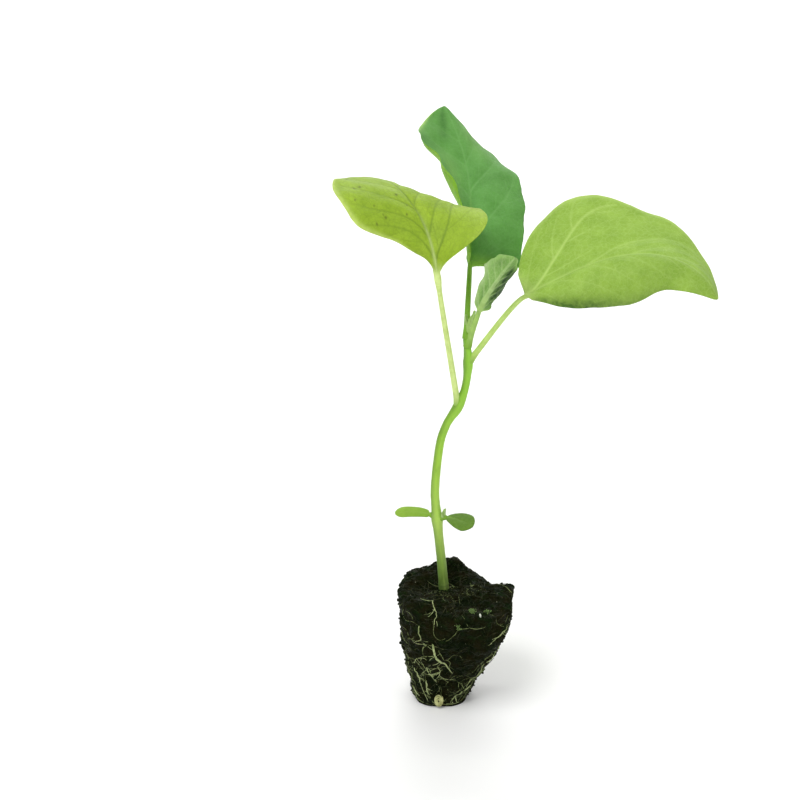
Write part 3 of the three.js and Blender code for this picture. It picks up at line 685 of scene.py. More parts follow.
def soil_material(name, dark, light):
    m = Shading(name)
    place = m.object_place()
    grain, clods = m.noise(place, 0.6, 5, 0.7), m.noise(place, 4.5, 4, 0.6)
    colour = m.mix(m.remap(grain, 0.38, 0.72), dark, light)
    colour = m.mix(m.remap(clods, 0.42, 0.62, 0.0, 0.7), colour, srgb(30, 24, 10))
    crumbs = m.cells(place, 0.8, "F1")
    colour = m.mix(m.remap(crumbs, 0.0, 0.5, 0.5, 0.0), colour, srgb(34, 44, 20))
    algae = m.times(m.remap(m.noise(place, 3.2, 3), 0.56, 0.66), m.value("upper"))
    colour = m.mix(m.times(algae, 0.4), colour, srgb(24, 46, 14))
    wet = m.noise(place, 3, 3)
    rough = m.remap(wet, 0.4, 0.6, 0.42, 0.9)
    normal = m.bump(grain, 0.9, 0.35)
    normal = m.bump(m.noise(place, 0.22, 3), 0.7, 0.1, normal)
    return m.finish(colour, rough, normal, Specular_IOR_Level=0.05, Specular_Tint=(0.5, 0.8, 0.35, 1))


def root_material(name, pale, shade):
    m = Shading(name)
    place = m.object_place()
    stain = m.noise(place, 1.6, 4, 0.6)
    colour = m.mix(m.remap(stain, 0.35, 0.7), pale, shade)
    colour = m.mix(m.remap(m.noise(place, 0.5, 2), 0.55, 0.75, 0.0, 0.7), colour, srgb(96, 86, 52))
    normal = m.bump(m.noise(place, 0.25, 3), 0.6, 0.08)
    rough = m.remap(stain, 0.2, 0.8, 0.5, 0.75)
    return m.finish(colour, rough, normal, Specular_IOR_Level=0.15, Subsurface_Weight=0.2,
                    Subsurface_Radius=(1, 0.9, 0.6), Subsurface_Scale=0.3 * MM)


def moss_material():
    m = Shading("moss_green")
    place = m.object_place()
    colour = m.mix(m.remap(m.noise(place, 0.5, 3), 0.35, 0.65), srgb(82, 112, 50), srgb(140, 168, 96))
    normal = m.bump(m.noise(place, 0.15, 2), 0.5, 0.05)
    return m.finish(colour, m.remap(m.noise(place, 0.4, 2), 0.2, 0.8, 0.5, 0.8), normal, 0.2)


def perlite_material():
    m = Shading("perlite_white")
    place = m.object_place()
    pores = m.cells(place, 0.25, "F1")
    colour = m.mix(m.remap(pores, 0.0, 0.7), srgb(178, 184, 162), srgb(228, 232, 216))
    return m.finish(colour, m.remap(pores, 0, 1, 0.6, 0.9), m.bump(pores, 0.8, 0.12))


def floor_material():
    m = Shading("studio_white")
    place = m.object_place()
    colour = m.mix(m.noise(place, 300, 2), srgb(250, 250, 248), srgb(253, 253, 253))
    return m.finish(colour, m.remap(m.noise(place, 40, 2), 0, 1, 0.8, 0.9))


# ---------------------------------------------------------------- leaves

VEIN_WIDTH = 0.36
BRANCH_WIDTH = 0.24
BRANCH_PLACES = (0.26, 0.4, 0.54, 0.68, 0.82)
MIDRIB_WIDTH = 0.62
MARGIN_THICKENING = 0.08
PETIOLE_FLARE_LENGTH = 2.6


def distance_to(route, points):
    """How far points lie from a route of points, and how far along it (0 to 1) they are."""
    nearest = np.full(points.shape[:-1], 1e9)
    along = np.zeros(points.shape[:-1])
    count = len(route) - 1
    for i in range(count):
        a, step = route[i], route[i + 1] - route[i]
        t = np.clip(((points - a) @ step) / max(step @ step, 1e-9), 0, 1)
        distance = np.linalg.norm(points - a - t[..., None] * step, axis=-1)
        closer = distance < nearest
        nearest = np.where(closer, distance, nearest)
        along = np.where(closer, (i + t) / count, along)
    return nearest, along


def vein_routes(leaf, side, sign):
    """The lateral veins of a side and their branches, on the flattened blade, each with its strength."""
    q = np.linspace(0, 1, 20)
    laterals, branches = [], []
    for start, end, reach, bow, strength in leaf["veins_" + side]:
        u, s = start + (end - start) * q**bow, reach * q
        width = half_width(leaf, leaf[side], u)
        line = np.stack([u * leaf["length"] + profile(leaf["sweep"], u) * s * width, sign * s * width], -1)
        laterals.append((line, strength))
        size = np.linalg.norm(line[-1] - line[0])
        for i, place in enumerate(BRANCH_PLACES):
            k = int(place * 19)
            heading = line[k + 1] - line[k]
            heading = heading / max(np.linalg.norm(heading), 1e-9)
            turn = math.radians(46) * sign * (-1 if i % 2 == 0 else 1)
            aside = np.array([
                heading[0] * math.cos(turn) - heading[1] * math.sin(turn),
                heading[0] * math.sin(turn) + heading[1] * math.cos(turn),
            ])
            reach_out = q[:, None] * size * (0.36 - 0.2 * place)
            branch = line[k] + aside * reach_out + heading * reach_out * 0.5 * q[:, None]
            branches.append((branch, strength * 0.5))
    return laterals, branches


def side_relief(leaf, side, sign, flat, s):
    """Vein mask and the bulging between the veins, over one side of a blade."""
    mask = np.zeros(flat.shape[:-1])
    gap = np.abs(flat[..., 1]) + 0.3
    laterals, branches = vein_routes(leaf, side, sign)
    for routes, width in ((laterals, VEIN_WIDTH), (branches, BRANCH_WIDTH)):
        for route, strength in routes:
            distance, along = distance_to(route, flat)
            here = strength * (1 - 0.5 * along)
            mask = np.maximum(mask, here * np.exp(-((distance / (width * (0.7 + 0.5 * here))) ** 2)))
            if routes is laterals:
                gap = np.minimum(gap, distance)
    bulge = (1 - np.exp(-((gap / 2.4) ** 2))) * (1 - s**3)
    return mask, bulge


def light_and_shade_mask(leaf, side, u, s):
    """The soft patches of painted shade (over 0) and painted light (under 0) on one side of a blade."""
    total = np.zeros(s.shape)
    for name, along, out, long, wide, strength in leaf["light_and_shade_patches"]:
        if name == side:
            total += strength * np.exp(-(((u - along) / long) ** 2) - ((s - out) / wide) ** 2)
    return total


def speck_mask(leaf, flat, seed):
    """Small dark specks scattered over the middle of a blade, most of them on its left."""
    mask = np.zeros(flat.shape[:-1])
    draw = np.random.default_rng(seed)
    for _ in range(leaf["specks"]):
        u, s = draw.uniform(0.38, 0.9), draw.uniform(-0.35, 0.85)
        side = leaf["left"] if s > 0 else leaf["right"]
        width = float(half_width(leaf, side, np.array(u)))
        forward = profile(leaf["sweep"], np.array(u)) * abs(s) * width
        place = np.array([u * leaf["length"] + forward, s * width])
        size = draw.uniform(0.3, 0.65) * np.array([1, draw.uniform(0.6, 1)])
        mask = np.maximum(mask, np.exp(-((((flat - place) / size) ** 2).sum(-1))))
    return mask


def blade_grid(leaf, u, s, middle):
    """A blade from its left margin to its right one.

    Gives its points, upward and outward directions, places on the flattened blade, vein mask, bulging,
    shares of the way out, and patches of painted light and shade.
    """
    sides = []
    for side, sign in (("left", 1), ("right", -1)):
        surface = blade_side(leaf, u, s, middle, leaf[side], sign)
        mask, bulge = side_relief(leaf, side, sign, surface[3], s)
        shares = np.broadcast_to(s, mask.shape)
        sides.append([*surface, mask, bulge, shares, light_and_shade_mask(leaf, side, u[:, None], shares)])
    grid = [np.concatenate([a[:, ::-1], b[:, 1:]], 1) for a, b in zip(*sides)]
    face, centre = grid[1], leaf["columns"]
    face[:, centre] = unit(face[:, centre - 1] + face[:, centre + 1])
    return grid


def on_ring(top):
    """Values over the blade's rings from values over its upper side."""
    return np.concatenate([top, top[:, -1:], top[:, ::-1], top[:, :1]], 1)


def blade_rings(leaf, uu, grid, vein, seed):
    """Closed rings round the blade: the grooved upper side, the margins, the lower side with its ribs."""
    points, face, outward, flat, mask, bulge, shares, _ = grid
    waves = 0.4 * spread(points, 9, seed) + 0.16 * spread(points, 3, seed + 1)
    ripple = leaf["ripple"] * shares**3 * spread(points, 10, seed + 2)
    margin = np.stack([flat[..., 0], 9 * np.sign(flat[..., 1]), 0 * shares], -1)
    nicks = spread(margin, leaf["notch_size"], seed + 3) + 0.25 * spread(margin, 2.5, seed + 4)
    fade = smoothstep(0, 0.12, uu)
    tip_fade = 1 - smoothstep(0.86, 0.99, uu)
    lift = (leaf["quilting"] * (bulge + waves * 0.8) + ripple * tip_fade) * fade
    notch = leaf["notch"] * shares**4 * nicks * fade * tip_fade
    points = points + face * lift[..., None] + outward * notch[..., None]
    half = leaf["thickness"] / 2 * (1 - 0.45 * shares)
    upper = points + face * (half - leaf["groove"] * vein)[..., None]
    lateral = np.abs(flat[..., 1])
    radius = leaf["petiole_end"] / 2 * (1 - uu) + MIDRIB_END_DEPTH / 2 * uu
    rib = np.sqrt(np.maximum(radius**2 - lateral**2, 0))
    rib = rib + 0.3 * radius * np.exp(-((lateral / (1.7 * radius)) ** 2))
    lower = points - face * (half + rib + leaf["rib"] * mask)[..., None]
    rim = points + outward * MARGIN_THICKENING
    return np.concatenate([upper, rim[:, -1:], lower[:, ::-1], rim[:, :1]], 1)


def ring_directions(columns):
    """Sine and cosine round a petiole's ring, whose points match those of a blade's ring."""
    opening = math.radians(87)
    around = np.linspace(opening, -opening, 2 * columns + 1)
    sine = np.concatenate([np.sin(around), [-1], np.sin(around[::-1]), [1]])
    cosine = np.concatenate([np.cos(around), [0], -np.cos(around), [0]])
    return sine, cosine


def rings_round(line, across, up, x, y):
    return line[:, None] + across[:, None] * x[..., None] + up[:, None] * y[..., None]


def leaf_shape(leaf, seed):
    """Mesh of a leaf grown in one piece, with the values its material reads."""
    rows, columns = leaf["rows"], leaf["columns"]
    u = np.linspace(0, 1, rows + 1) ** 1.12
    s = (np.linspace(0, 1, columns + 1) ** 1.3)[None, :]
    uu = u[:, None]
    steps = blade_frame(leaf, (u[1:] + u[:-1]) / 2)[0] * (np.diff(u) * leaf["length"])[:, None]
    base = blade_base(leaf)
    middle = np.concatenate([[base], base + np.cumsum(steps, 0)])
    grid = blade_grid(leaf, u, s, middle)
    flat, mask, light_and_shade_patches = grid[3], grid[4], grid[7]
    rib_width = MIDRIB_WIDTH * (1 - 0.62 * uu)
    midrib = leaf["midrib"] * (1 - 0.45 * uu) * np.exp(-((np.abs(flat[..., 1]) / rib_width) ** 2))
    vein = np.clip(np.maximum(mask, midrib), 0, 1)
    blade = blade_rings(leaf, uu, grid, vein, seed)

    # The petiole, whose rings turn into the blade's over the blade's first stretch.
    share = np.linspace(0, 1, leaf["petiole_rows"] + 1)[:-1]
    line, tangent = petiole_line(leaf, share)
    _, across, up = blade_frame(leaf, u)
    normal = unit(np.cross(tangent, across[:1]))
    length = np.linalg.norm(base - stem_point(leaf["node"]))
    flare = leaf["flare"] * np.exp(-((share * length / PETIOLE_FLARE_LENGTH) ** 2))
    thick = (leaf["petiole"] * (1 - share) + leaf["petiole_end"] * share) / 2 + flare
    wing = 1 + leaf["wings"] * smoothstep(-WING_LENGTH, 0, (share - 1) * length)
    sine, cosine = ring_directions(columns)
    high = thick[:, None] * cosine
    stalk = rings_round(line, np.cross(normal, tangent), normal, (wing * thick)[:, None] * sine, high)
    collar_size = np.full((rows + 1, 1), leaf["petiole_end"] / 2)
    collar = rings_round(middle, across, up, collar_size * (1 + leaf["wings"]) * sine, collar_size * cosine)
    grown = smoothstep(0, 0.055, uu)[..., None]
    rings = np.concatenate([stalk, collar * (1 - grown) + blade * grown])

    def whole(petiole, top):
        """Values over the whole leaf, from the petiole's value and values over the blade's upper side."""
        return np.concatenate([np.full((len(share), rings.shape[1]), float(petiole)), on_ring(top)])

    on_blade = whole(0, np.broadcast_to(uu > 0, mask.shape).astype(float))
    lower_side = np.zeros(rings.shape[1])
    lower_side[2 * columns + 1 : -1] = 1
    stalk_green = np.maximum(1 - smoothstep(0.0, 0.1, uu), midrib * (1 - smoothstep(0.05, 0.5, uu)) * 0.8)
    joint = np.concatenate([np.exp(-((share * length / 3) ** 2)), np.zeros(rows + 1)])
    values = {
        "vein": whole(1, vein),
        "under": lower_side * on_blade,
        "stalk": whole(1, stalk_green),
        "joint": np.broadcast_to(joint[:, None], rings.shape[:2]),
        # shade is painted shade and pale is painted light, both from the blade's patches of light and shade.
        "shade": whole(0, np.clip(light_and_shade_patches, 0, 1)),
        "pale": whole(0, np.clip(-light_and_shade_patches, 0, 1)),
        "speck": whole(0, speck_mask(leaf, flat, seed)),
    }
    blade_place = on_ring(np.concatenate([flat, 0 * flat[..., :1]], -1))
    back = (share[:, None] - 1) * length
    stalk_place = np.stack(np.broadcast_arrays(back, thick[:, None] * sine, high), -1)
    places = np.concatenate([stalk_place, blade_place])
    ends = {key: np.append(data.ravel(), [data[0].mean(), data[-1].mean()]) for key, data in values.items()}
    places = np.concatenate([places.reshape(-1, 3), places[[0, -1]].mean(1)])
    return loft(rings), ends, places


# A leaf's colours: light and dark green, veins, underside, petiole, the painted shade colour and the painted
# light colour.
LEAVES = [
    ("leaf_1", LEAF_1, "leaf_lime", leaf_material(
        "leaf_lime",
        [(172, 203, 56), (152, 184, 42), (112, 142, 34), (158, 190, 74), (226, 244, 160), (104, 140, 30),
         (206, 226, 120)], vein_show=0.85)),
    ("leaf_2", LEAF_2, "leaf_green", leaf_material(
        "leaf_green",
        [(160, 198, 76), (138, 178, 56), (190, 220, 116), (136, 172, 76), (206, 232, 134), (74, 112, 36),
         (198, 224, 130)])),
    # leaf_3's underside colour is partly its own paler underside and partly painted glow of light shining
    # through its curled-up left margin.
    ("leaf_3", LEAF_3, "leaf_deep", leaf_material(
        "leaf_deep",
        [(106, 168, 80), (88, 150, 62), (128, 184, 102), (156, 210, 52), (143, 195, 66), (50, 104, 34),
         (176, 214, 120)], vein_show=0.55)),
    ("leaf_4", LEAF_4, "leaf_young", leaf_material(
        "leaf_young",
        [(132, 180, 84), (92, 142, 54), (204, 230, 160), (144, 192, 96), (180, 216, 116), (40, 78, 22),
         (206, 230, 164)], down=0.03)),
    ("cotyledon_left", COTYLEDON_LEFT, "cotyledon", leaf_material(
        "cotyledon_pale",
        [(150, 192, 60), (130, 172, 46), (160, 196, 80), (120, 158, 50), (150, 190, 70), (100, 140, 40),
         (180, 210, 110)], vein_show=0.4)),
    ("cotyledon_right", COTYLEDON_RIGHT, "cotyledon", leaf_material(
        "cotyledon_deep",
        [(104, 144, 44), (84, 124, 32), (130, 164, 66), (90, 126, 44), (140, 184, 66), (60, 96, 26),
         (140, 170, 90)], vein_show=0.4)),
]

for leaf_seed, (leaf_node, leaf_form, leaf_slot, leaf_look) in enumerate(LEAVES, 1):
    leaf_mesh, leaf_values, leaf_places = leaf_shape(leaf_form, leaf_seed)
    add_piece(f"{leaf_node}_look", leaf_mesh, leaf_look, [leaf_node], leaf_values, leaf_places)

# ---------------------------------------------------------------- stem

STEM_SIDES = 40
SCAR_HEIGHT = 3.2


def add_stem():
    """The stem with its fine ridges, the ring of an old scar, and its foot among the roots."""
    line = smooth_route(np.concatenate([STEM_LINE[:-1:6], STEM_LINE[-1:]]), 420)
    height = line[:, 2] - SOIL_LEVEL
    angle = np.arange(STEM_SIDES) * 2 * np.pi / STEM_SIDES
    place = np.stack(np.broadcast_arrays(np.cos(angle) * 2, np.sin(angle) * 2, height[:, None]), -1)
    ridges = 0.05 * np.cos(5 * angle + height[:, None] / 30) + 0.05 * spread(place, 1.6, 21)
    collar = np.exp(-(((height - SCAR_HEIGHT) / 0.35) ** 2))
    ridges = ridges + 0.12 * collar[:, None]
    root_flare = 0.5 * np.exp(-np.maximum(height + 2, 0) / 3)
    radii = stem_radius(np.maximum(height, 0)) + root_flare
    radii = radii * (1 - 0.12 * smoothstep(STEM_HEIGHT - 1, STEM_HEIGHT, height))
    shape = loft(bar_rings(line, radii, STEM_SIDES, ridges))
    flat_height = np.append(np.repeat(height, STEM_SIDES), [height[0], height[-1]])
    # Painted shade: the side of the stem turned away from the light is made darker along its whole height.
    painted_shade_side = 0.55 * np.clip(-np.cos(angle - 0.25), 0, 1) ** 1.5 + 0 * height[:, None]
    values = {
        "height": np.clip(flat_height / STEM_HEIGHT, 0, 1),
        "scar": 0.5 * np.exp(-(((flat_height - SCAR_HEIGHT) / 0.25) ** 2)),
        "painted_shade_side": np.append(painted_shade_side.ravel(), [0, 0]),
    }
    places = np.concatenate([place.reshape(-1, 3), place[[0, -1]].mean(1)])
    add_piece("stem_look", shape, stem_material(), ["stem"], values, places)


add_stem()

# ---------------------------------------------------------------- soil


def soil_shape():
    """The plug's skin with clods, crumbs and pits."""
    around, levels = 340, 190
    top_levels = 96
    rise = np.concatenate([np.linspace(0, 1, levels, endpoint=False), np.linspace(1, 1.985, top_levels)])
    angle = np.linspace(0, 2 * np.pi, around, endpoint=False)
    aa, rr = np.broadcast_arrays(angle[None, :], rise[:, None])
    points, outward = plug_point(aa, rr), plug_normal(aa, rr)
    clods = np.zeros(points.shape[:-1])
    for size, height, seed in ((5.2, 1.0, 41), (2.4, 0.55, 42), (1.2, 0.32, 43)):
        shifted = ((points + seed) / size).reshape(-1, 3).tolist()
        nearest = np.array([noise.voronoi(p)[0][0] for p in shifted]).reshape(clods.shape)
        clods += height * (0.45 - np.minimum(nearest, 1) ** 1.5)
    clods += 1.3 * spread(points, 8, 44) + 0.35 * spread(points, 0.8, 45)
    steady = smoothstep(0.0, 0.05, rise)[:, None]
    keep_flat = 0.25 + 0.75 * steady
    points = points + outward * (clods * keep_flat)[..., None]
    points[..., 2] = np.maximum(points[..., 2], 0.02 + 0.3 * np.abs(spread(points, 2, 46)))
    points[0, :, 2] = 0
    verts, faces = loft(points)
    values = {"upper": np.append(np.clip(rr - 0.55, 0, 0.45).ravel() / 0.45, [0, 1])}
    return (verts, faces), values


soil_dark = soil_material("soil_dark", srgb(4, 7, 2), srgb(20, 28, 12))
soil, soil_values = soil_shape()
add_piece("soil_plug_look", soil, soil_dark, ["soil_plug"], soil_values)
soil_tree = BVHTree.FromPolygons(soil[0].tolist(), soil[1])


def on_soil(angle, rise, lift=0.0):
    """A point of the crumbly skin from an angle in degrees and a rise, and the outward direction."""
    a = np.array(math.radians(angle))
    outward = plug_normal(a, np.array(float(rise)))
    start = plug_point(a, np.array(float(rise))) + outward * 5
    hit = soil_tree.ray_cast(Vector(start), Vector(-outward), 9)[0]
    found = np.array(hit) if hit is not None else start - outward * 5
    return found + outward * lift, outward


def lump(centre, size, seed, detail):
    """A small irregular grain, turned at random."""
    verts, faces = ICO_SHAPES[detail]
    turn, _ = np.linalg.qr(rng.normal(size=(3, 3)))
    points = (verts * np.array(size)) @ turn.T
    points = points * (1 + 0.5 * spread(points, max(size) * 0.8, seed))[:, None]
    return points + centre, faces


def ico_shape(detail):
    """A ball of triangles, 1 mm across."""
    body = bmesh.new()
    bmesh.ops.create_icosphere(body, subdivisions=detail, radius=0.5)
    body.verts.ensure_lookup_table()
    verts = np.array([v.co for v in body.verts])
    faces = [[v.index for v in f.verts] for f in body.faces]
    body.free()
    return verts, faces


ICO_SHAPES = {detail: ico_shape(detail) for detail in (1, 2, 3)}


def add_crumbs():
    """Loose crumbs on the plug's skin, small ones far more often than large ones."""
    crumbs = []
    for i in range(1500):
        angle = rng.uniform(-180, 180)
        rise = rng.uniform(0.03, 1.0) if rng.random() < 0.62 else rng.uniform(1, 1.9)
        size = 0.35 + 1.1 * rng.random() ** 2.6
        centre, _ = on_soil(angle, rise, 0.1 * size)
        if centre[2] < size * 0.55:
            continue
        crumbs.append(lump(centre, (size, size * rng.uniform(0.7, 1), size * rng.uniform(0.5, 0.9)), i, 2))
    material = soil_material("soil_crumb", srgb(6, 9, 3), srgb(34, 44, 22))
    shape = joined(crumbs)
    add_piece("soil_crumbs", shape, material, (), {"upper": np.zeros(len(shape[0]))})


add_crumbs()

# ---------------------------------------------------------------- roots

# The routes of the roots on the plug's skin: angles in degrees and rises, with the CAD's diameters.
ROOTS = [
    (1.3, [(-115, 0.76), (-111, 0.64), (-99, 0.52), (-82, 0.41)]),
    (0.7, [(-135, 1.45), (-124, 1.28), (-114, 1.09), (-114, 0.91)]),
    (0.8, [(-130, 0.91), (-129, 0.82), (-126, 0.74), (-120, 0.71)]),
    (0.8, [(-133, 0.42), (-127, 0.35), (-126, 0.26), (-122, 0.18), (-115, 0.06)]),
    (0.6, [(-134, 0.47), (-131, 0.53), (-124, 0.57), (-118, 0.57)]),
    (0.7, [(-119, 0.46), (-115, 0.4), (-113, 0.33)]),
    (0.8, [(-117, 0.28), (-116, 0.18), (-110, 0.1)]),
    (1, [(-152, 0.16), (-142, 0.14), (-130, 0.08)]),
    (1, [(-45, 0.23), (-57, 0.14), (-70, 0.07)]),
    (0.7, [(-38, 0.87), (-48, 0.83), (-60, 0.77)]),
    (0.6, [(-106, 0.46), (-99, 0.37), (-102, 0.3)]),
    (0.8, [(-28, 0.64), (-36, 0.52), (-42, 0.4), (-50, 0.28)]),
    (1, [(60, 0.85), (74, 0.62), (68, 0.4), (82, 0.18)]),
    (0.8, [(135, 0.75), (118, 0.55), (126, 0.32)]),
    (0.9, [(172, 0.85), (162, 0.6), (176, 0.36), (166, 0.14)]),
    (0.8, [(15, 0.78), (32, 0.56), (24, 0.36), (36, 0.16)]),
    (0.7, [(104, 0.9), (95, 0.7), (106, 0.46), (100, 0.22)]),
]
ROOT_THINNING = 0.5  # the fine roots' diameter, as a share of the CAD's
THICK_ROOT_THINNING = 0.62
ROOT_TIP_SIZE = 0.3  # a root's thickness at its tip, as a share of its diameter
ROOT_COIL = {"angle": -96, "rise": 0.085, "height": 6, "width": 3.6}


def eased(points, passes):
    """A route with its small kinks smoothed away."""
    for _ in range(passes):
        points[1:-1] = 0.25 * points[:-2] + 0.5 * points[1:-1] + 0.25 * points[2:]
    return points


def skin_bar(angles, rises, diameter, sink=0.15, passes=2):
    """A fine root that lies on the crumbly skin along a route of places."""
    points = np.array([on_soil(a, r, diameter * (0.5 - sink))[0] for a, r in zip(angles, rises)])
    points = eased(points, passes)
    share = np.linspace(0, 1, len(points))
    radii = diameter / 2 * (1 - (1 - ROOT_TIP_SIZE) * share**2) * (1 + 0.18 * spread(points, 1.5, 61))
    radii = np.maximum(radii * np.minimum(1, 0.4 + 8 * np.minimum(share, 1 - share)), 0.03)
    line = smooth_route(points, len(points) * 2)
    radii = np.interp(np.linspace(0, 1, len(line)), share, radii)
    return loft(bar_rings(line, radii, 7))


def wandering_places(angle, rise, heading, length, turn):
    """A random walk over the skin: angles and rises, from a heading in radians (0 around, -pi/2 down)."""
    step = 0.7
    angles, rises = [angle], [rise]
    for _ in range(max(int(length / step), 4)):
        heading += rng.normal(0, turn)
        inward = 1 - max(rise - 1, 0)
        radius = (9.3 + 10 * min(rise, 1)) * max(inward, 0.15)
        angle += math.degrees(step * math.cos(heading) / radius)
        rise += step * math.sin(heading) / (45 if rise < 1 else 19)
        rise = min(max(rise, 0.03), 1.9)
        angles.append(angle)
        rises.append(rise)
    return angles, rises


def add_roots():
    """The named roots, each with a few fine side roots."""
    material = root_material("root_pale", srgb(186, 198, 142), srgb(122, 138, 84))
    for i, (diameter, places) in enumerate(ROOTS):
        count = 12 * len(places)
        share = np.linspace(0, 1, count)
        wiggle = spread(np.stack([share * 4 + i * 3, 0 * share, 0 * share], -1), 0.5, 71)
        angles = profile([a for a, _ in places], share) + 1.6 * wiggle
        rises = profile([r for _, r in places], share) + 0.006 * wiggle[::-1]
        thinning = THICK_ROOT_THINNING if i == 0 else ROOT_THINNING
        shapes = [skin_bar(angles, rises, diameter * thinning)]
        for _ in range(3 + i % 3):
            k = int(rng.integers(2, count - 3))
            heading = math.radians(rng.uniform(-150, -20))
            walk = wandering_places(angles[k], rises[k], heading, rng.uniform(3, 8), 0.4)
            shapes.append(skin_bar(*walk, rng.uniform(0.16, 0.28)))
        add_piece(f"root_{i + 1:02d}_look", joined(shapes), material, [f"root_{i + 1:02d}"])


def add_root_hairs():
    """The net of fine roots all round the plug, denser towards its base."""
    material = root_material("root_hair", srgb(136, 150, 98), srgb(76, 86, 46))
    shapes = []
    for _ in range(210):
        angle = rng.uniform(-180, 180)
        rise = 0.03 + 0.95 * rng.random() ** 1.35
        if -95 < angle < -25 and rise > 0.3 and rng.random() < 0.6:
            continue
        heading = math.radians(rng.choice([-90, -60, -120, -20, -160, 60, 120]) + rng.uniform(-20, 20))
        walk = wandering_places(angle, rise, heading, rng.uniform(4, 15), 0.34)
        shapes.append(skin_bar(*walk, rng.uniform(0.13, 0.27)))
    for _ in range(26):
        angle, rise = rng.uniform(-180, 180), rng.uniform(1.72, 1.86)
        walk = wandering_places(angle, rise, -math.pi / 2, rng.uniform(3, 9), 0.4)
        shapes.append(skin_bar(*walk, rng.uniform(0.14, 0.24)))
    add_piece("root_hairs", joined(shapes), material)


def add_fibres():
    """Dark bits of peat fibre that stick out of the crumbs."""
    material = root_material("fibre_brown", srgb(40, 48, 20), srgb(18, 20, 7))
    shapes = []
    for _ in range(330):
        rise = rng.uniform(0.05, 1.85)
        angle, heading = rng.uniform(-180, 180), rng.uniform(0, 2 * math.pi)
        walk = wandering_places(angle, rise, heading, rng.uniform(2, 6), 0.25)
        shapes.append(skin_bar(*walk, rng.uniform(0.14, 0.3), sink=-0.6, passes=4))
    add_piece("soil_fibres", joined(shapes), material)


def skin_frame(angle, rise):
    """A place on the crumbly skin with its directions: sideways, up along the skin, outward."""
    centre, outward = on_soil(angle, rise)
    sideways = unit(np.cross([0, 0, 1.0], outward))
    return centre, sideways, np.cross(outward, sideways), outward


def add_root_coil():
    """The whorl of a thick root that has turned round and round against the tray cell's wall."""
    angle = math.radians(ROOT_COIL["angle"])
    outward = np.array([math.cos(angle), math.sin(angle), 0])
    sideways, upward = np.array([-math.sin(angle), math.cos(angle), 0]), np.array([0, 0, 1])
    centre = on_soil(ROOT_COIL["angle"], ROOT_COIL["rise"])[0]
    thickness, turns, count = 0.55, 3.1, 220
    share = np.linspace(0, 1, count)
    round_angle = share * turns * 2 * np.pi
    size = 0.16 + 0.84 * share
    x = (ROOT_COIL["width"] - thickness) / 2 * size * np.cos(round_angle)
    z = (ROOT_COIL["height"] - thickness) / 2 * size * np.sin(round_angle)
    flat = centre + x[:, None] * sideways + z[:, None] * upward
    flat[:, 2] = np.maximum(flat[:, 2], thickness / 2 + 0.1)
    hits = [soil_tree.ray_cast(Vector(p + 6 * outward), Vector(-outward), 12)[0] for p in flat]
    depths = [float(np.dot(np.array(hit) - p, outward)) for hit, p in zip(hits, flat) if hit is not None]
    top = np.percentile(depths, 80)
    line = flat + (top + 0.3 + 0.5 * (1 - share) + 0.12 * spread(flat, 0.8, 81))[:, None] * outward
    radii = thickness / 2 * (0.75 + 0.25 * np.sin(share * np.pi)) * (1 + 0.1 * spread(line, 0.7, 82))
    material = root_material("root_coil_pale", srgb(206, 208, 150), srgb(150, 152, 94))
    add_piece("root_coil_look", loft(bar_rings(line, radii, 10)), material, ["root_coil"])


add_roots()
add_root_hairs()
add_fibres()
add_root_coil()

# ---------------------------------------------------------------- moss and grains

MOSSES = [(-73, 1.24, 2.2), (-90, 0.96, 1.4), (-55, 1.18, 1.3)]
GRAIN = (-67, 1.08, 1.1)


def leaflet(centre, size, outward):
    """A tiny cupped moss leaflet that leans away from the skin."""
    verts, faces = ICO_SHAPES[2]
    lean = unit(outward + 0.9 * rng.normal(size=3))
    side = unit(np.cross(lean, rng.normal(size=3)))
    up = np.cross(side, lean)
    long, wide = verts[:, 0], verts[:, 1]
    cup = 2 * wide**2 * 0.3
    points = lean * ((long + 0.35) * size)[:, None] + side * (wide * size * 0.55)[:, None]
    return centre + points + up * ((verts[:, 2] * 0.16 + cup) * size)[:, None], faces


def add_mosses():
    material = moss_material()
    for i, (angle, rise, width) in enumerate(MOSSES):
        centre, sideways, upward, outward = skin_frame(angle, rise)
        shapes = []
        for _ in range(int(26 * width)):
            x, y = rng.normal(0, width * 0.36, 2)
            place = centre + sideways * x + upward * y + outward * 0.15
            shapes.append(leaflet(place, rng.uniform(0.5, 1.1), outward))
        add_piece(f"moss_{i + 1}_look", joined(shapes), material, [f"moss_{i + 1}"])


def add_grains():
    """The white perlite grain and the pale grit in the soil."""
    material = perlite_material()
    angle, rise, width = GRAIN
    centre, _ = on_soil(angle, rise, 0.25)
    grain = lump(centre, (width * 1.25, width * 0.7, width * 0.65), 91, 3)
    add_piece("perlite_grain_look", grain, material, ["perlite_grain"])
    grit = []
    for i in range(46):
        size = rng.uniform(0.2, 0.5)
        centre, _ = on_soil(rng.uniform(-180, 180), rng.uniform(0.1, 1.8), size * 0.15)
        grit.append(lump(centre, (size, size * 0.8, size * 0.7), 92 + i, 1))
    grit_look = root_material("grit_pale", srgb(150, 152, 128), srgb(92, 94, 72))
    add_piece("soil_grit", joined(grit), grit_look)


add_mosses()
add_grains()

# ---------------------------------------------------------------- buds

BUD_LEAF = {
    **TRUE_LEAF,
    "ripple": 0.2,
    "notch": 0.08,
    "flare": 0,
    "petiole": 1.1,
    "petiole_end": 0.7,
    "thickness": 0.3,
    "rows": 60,
    "columns": 16,
    "petiole_rows": 12,
    "quilting": 0.12,
    "sweep": [0, 0],
    "base_rounding": 0.12,
    "tip_rounding": 0.55,
    "veins_left": COTYLEDON_VEINS,
    "veins_right": COTYLEDON_VEINS,
}


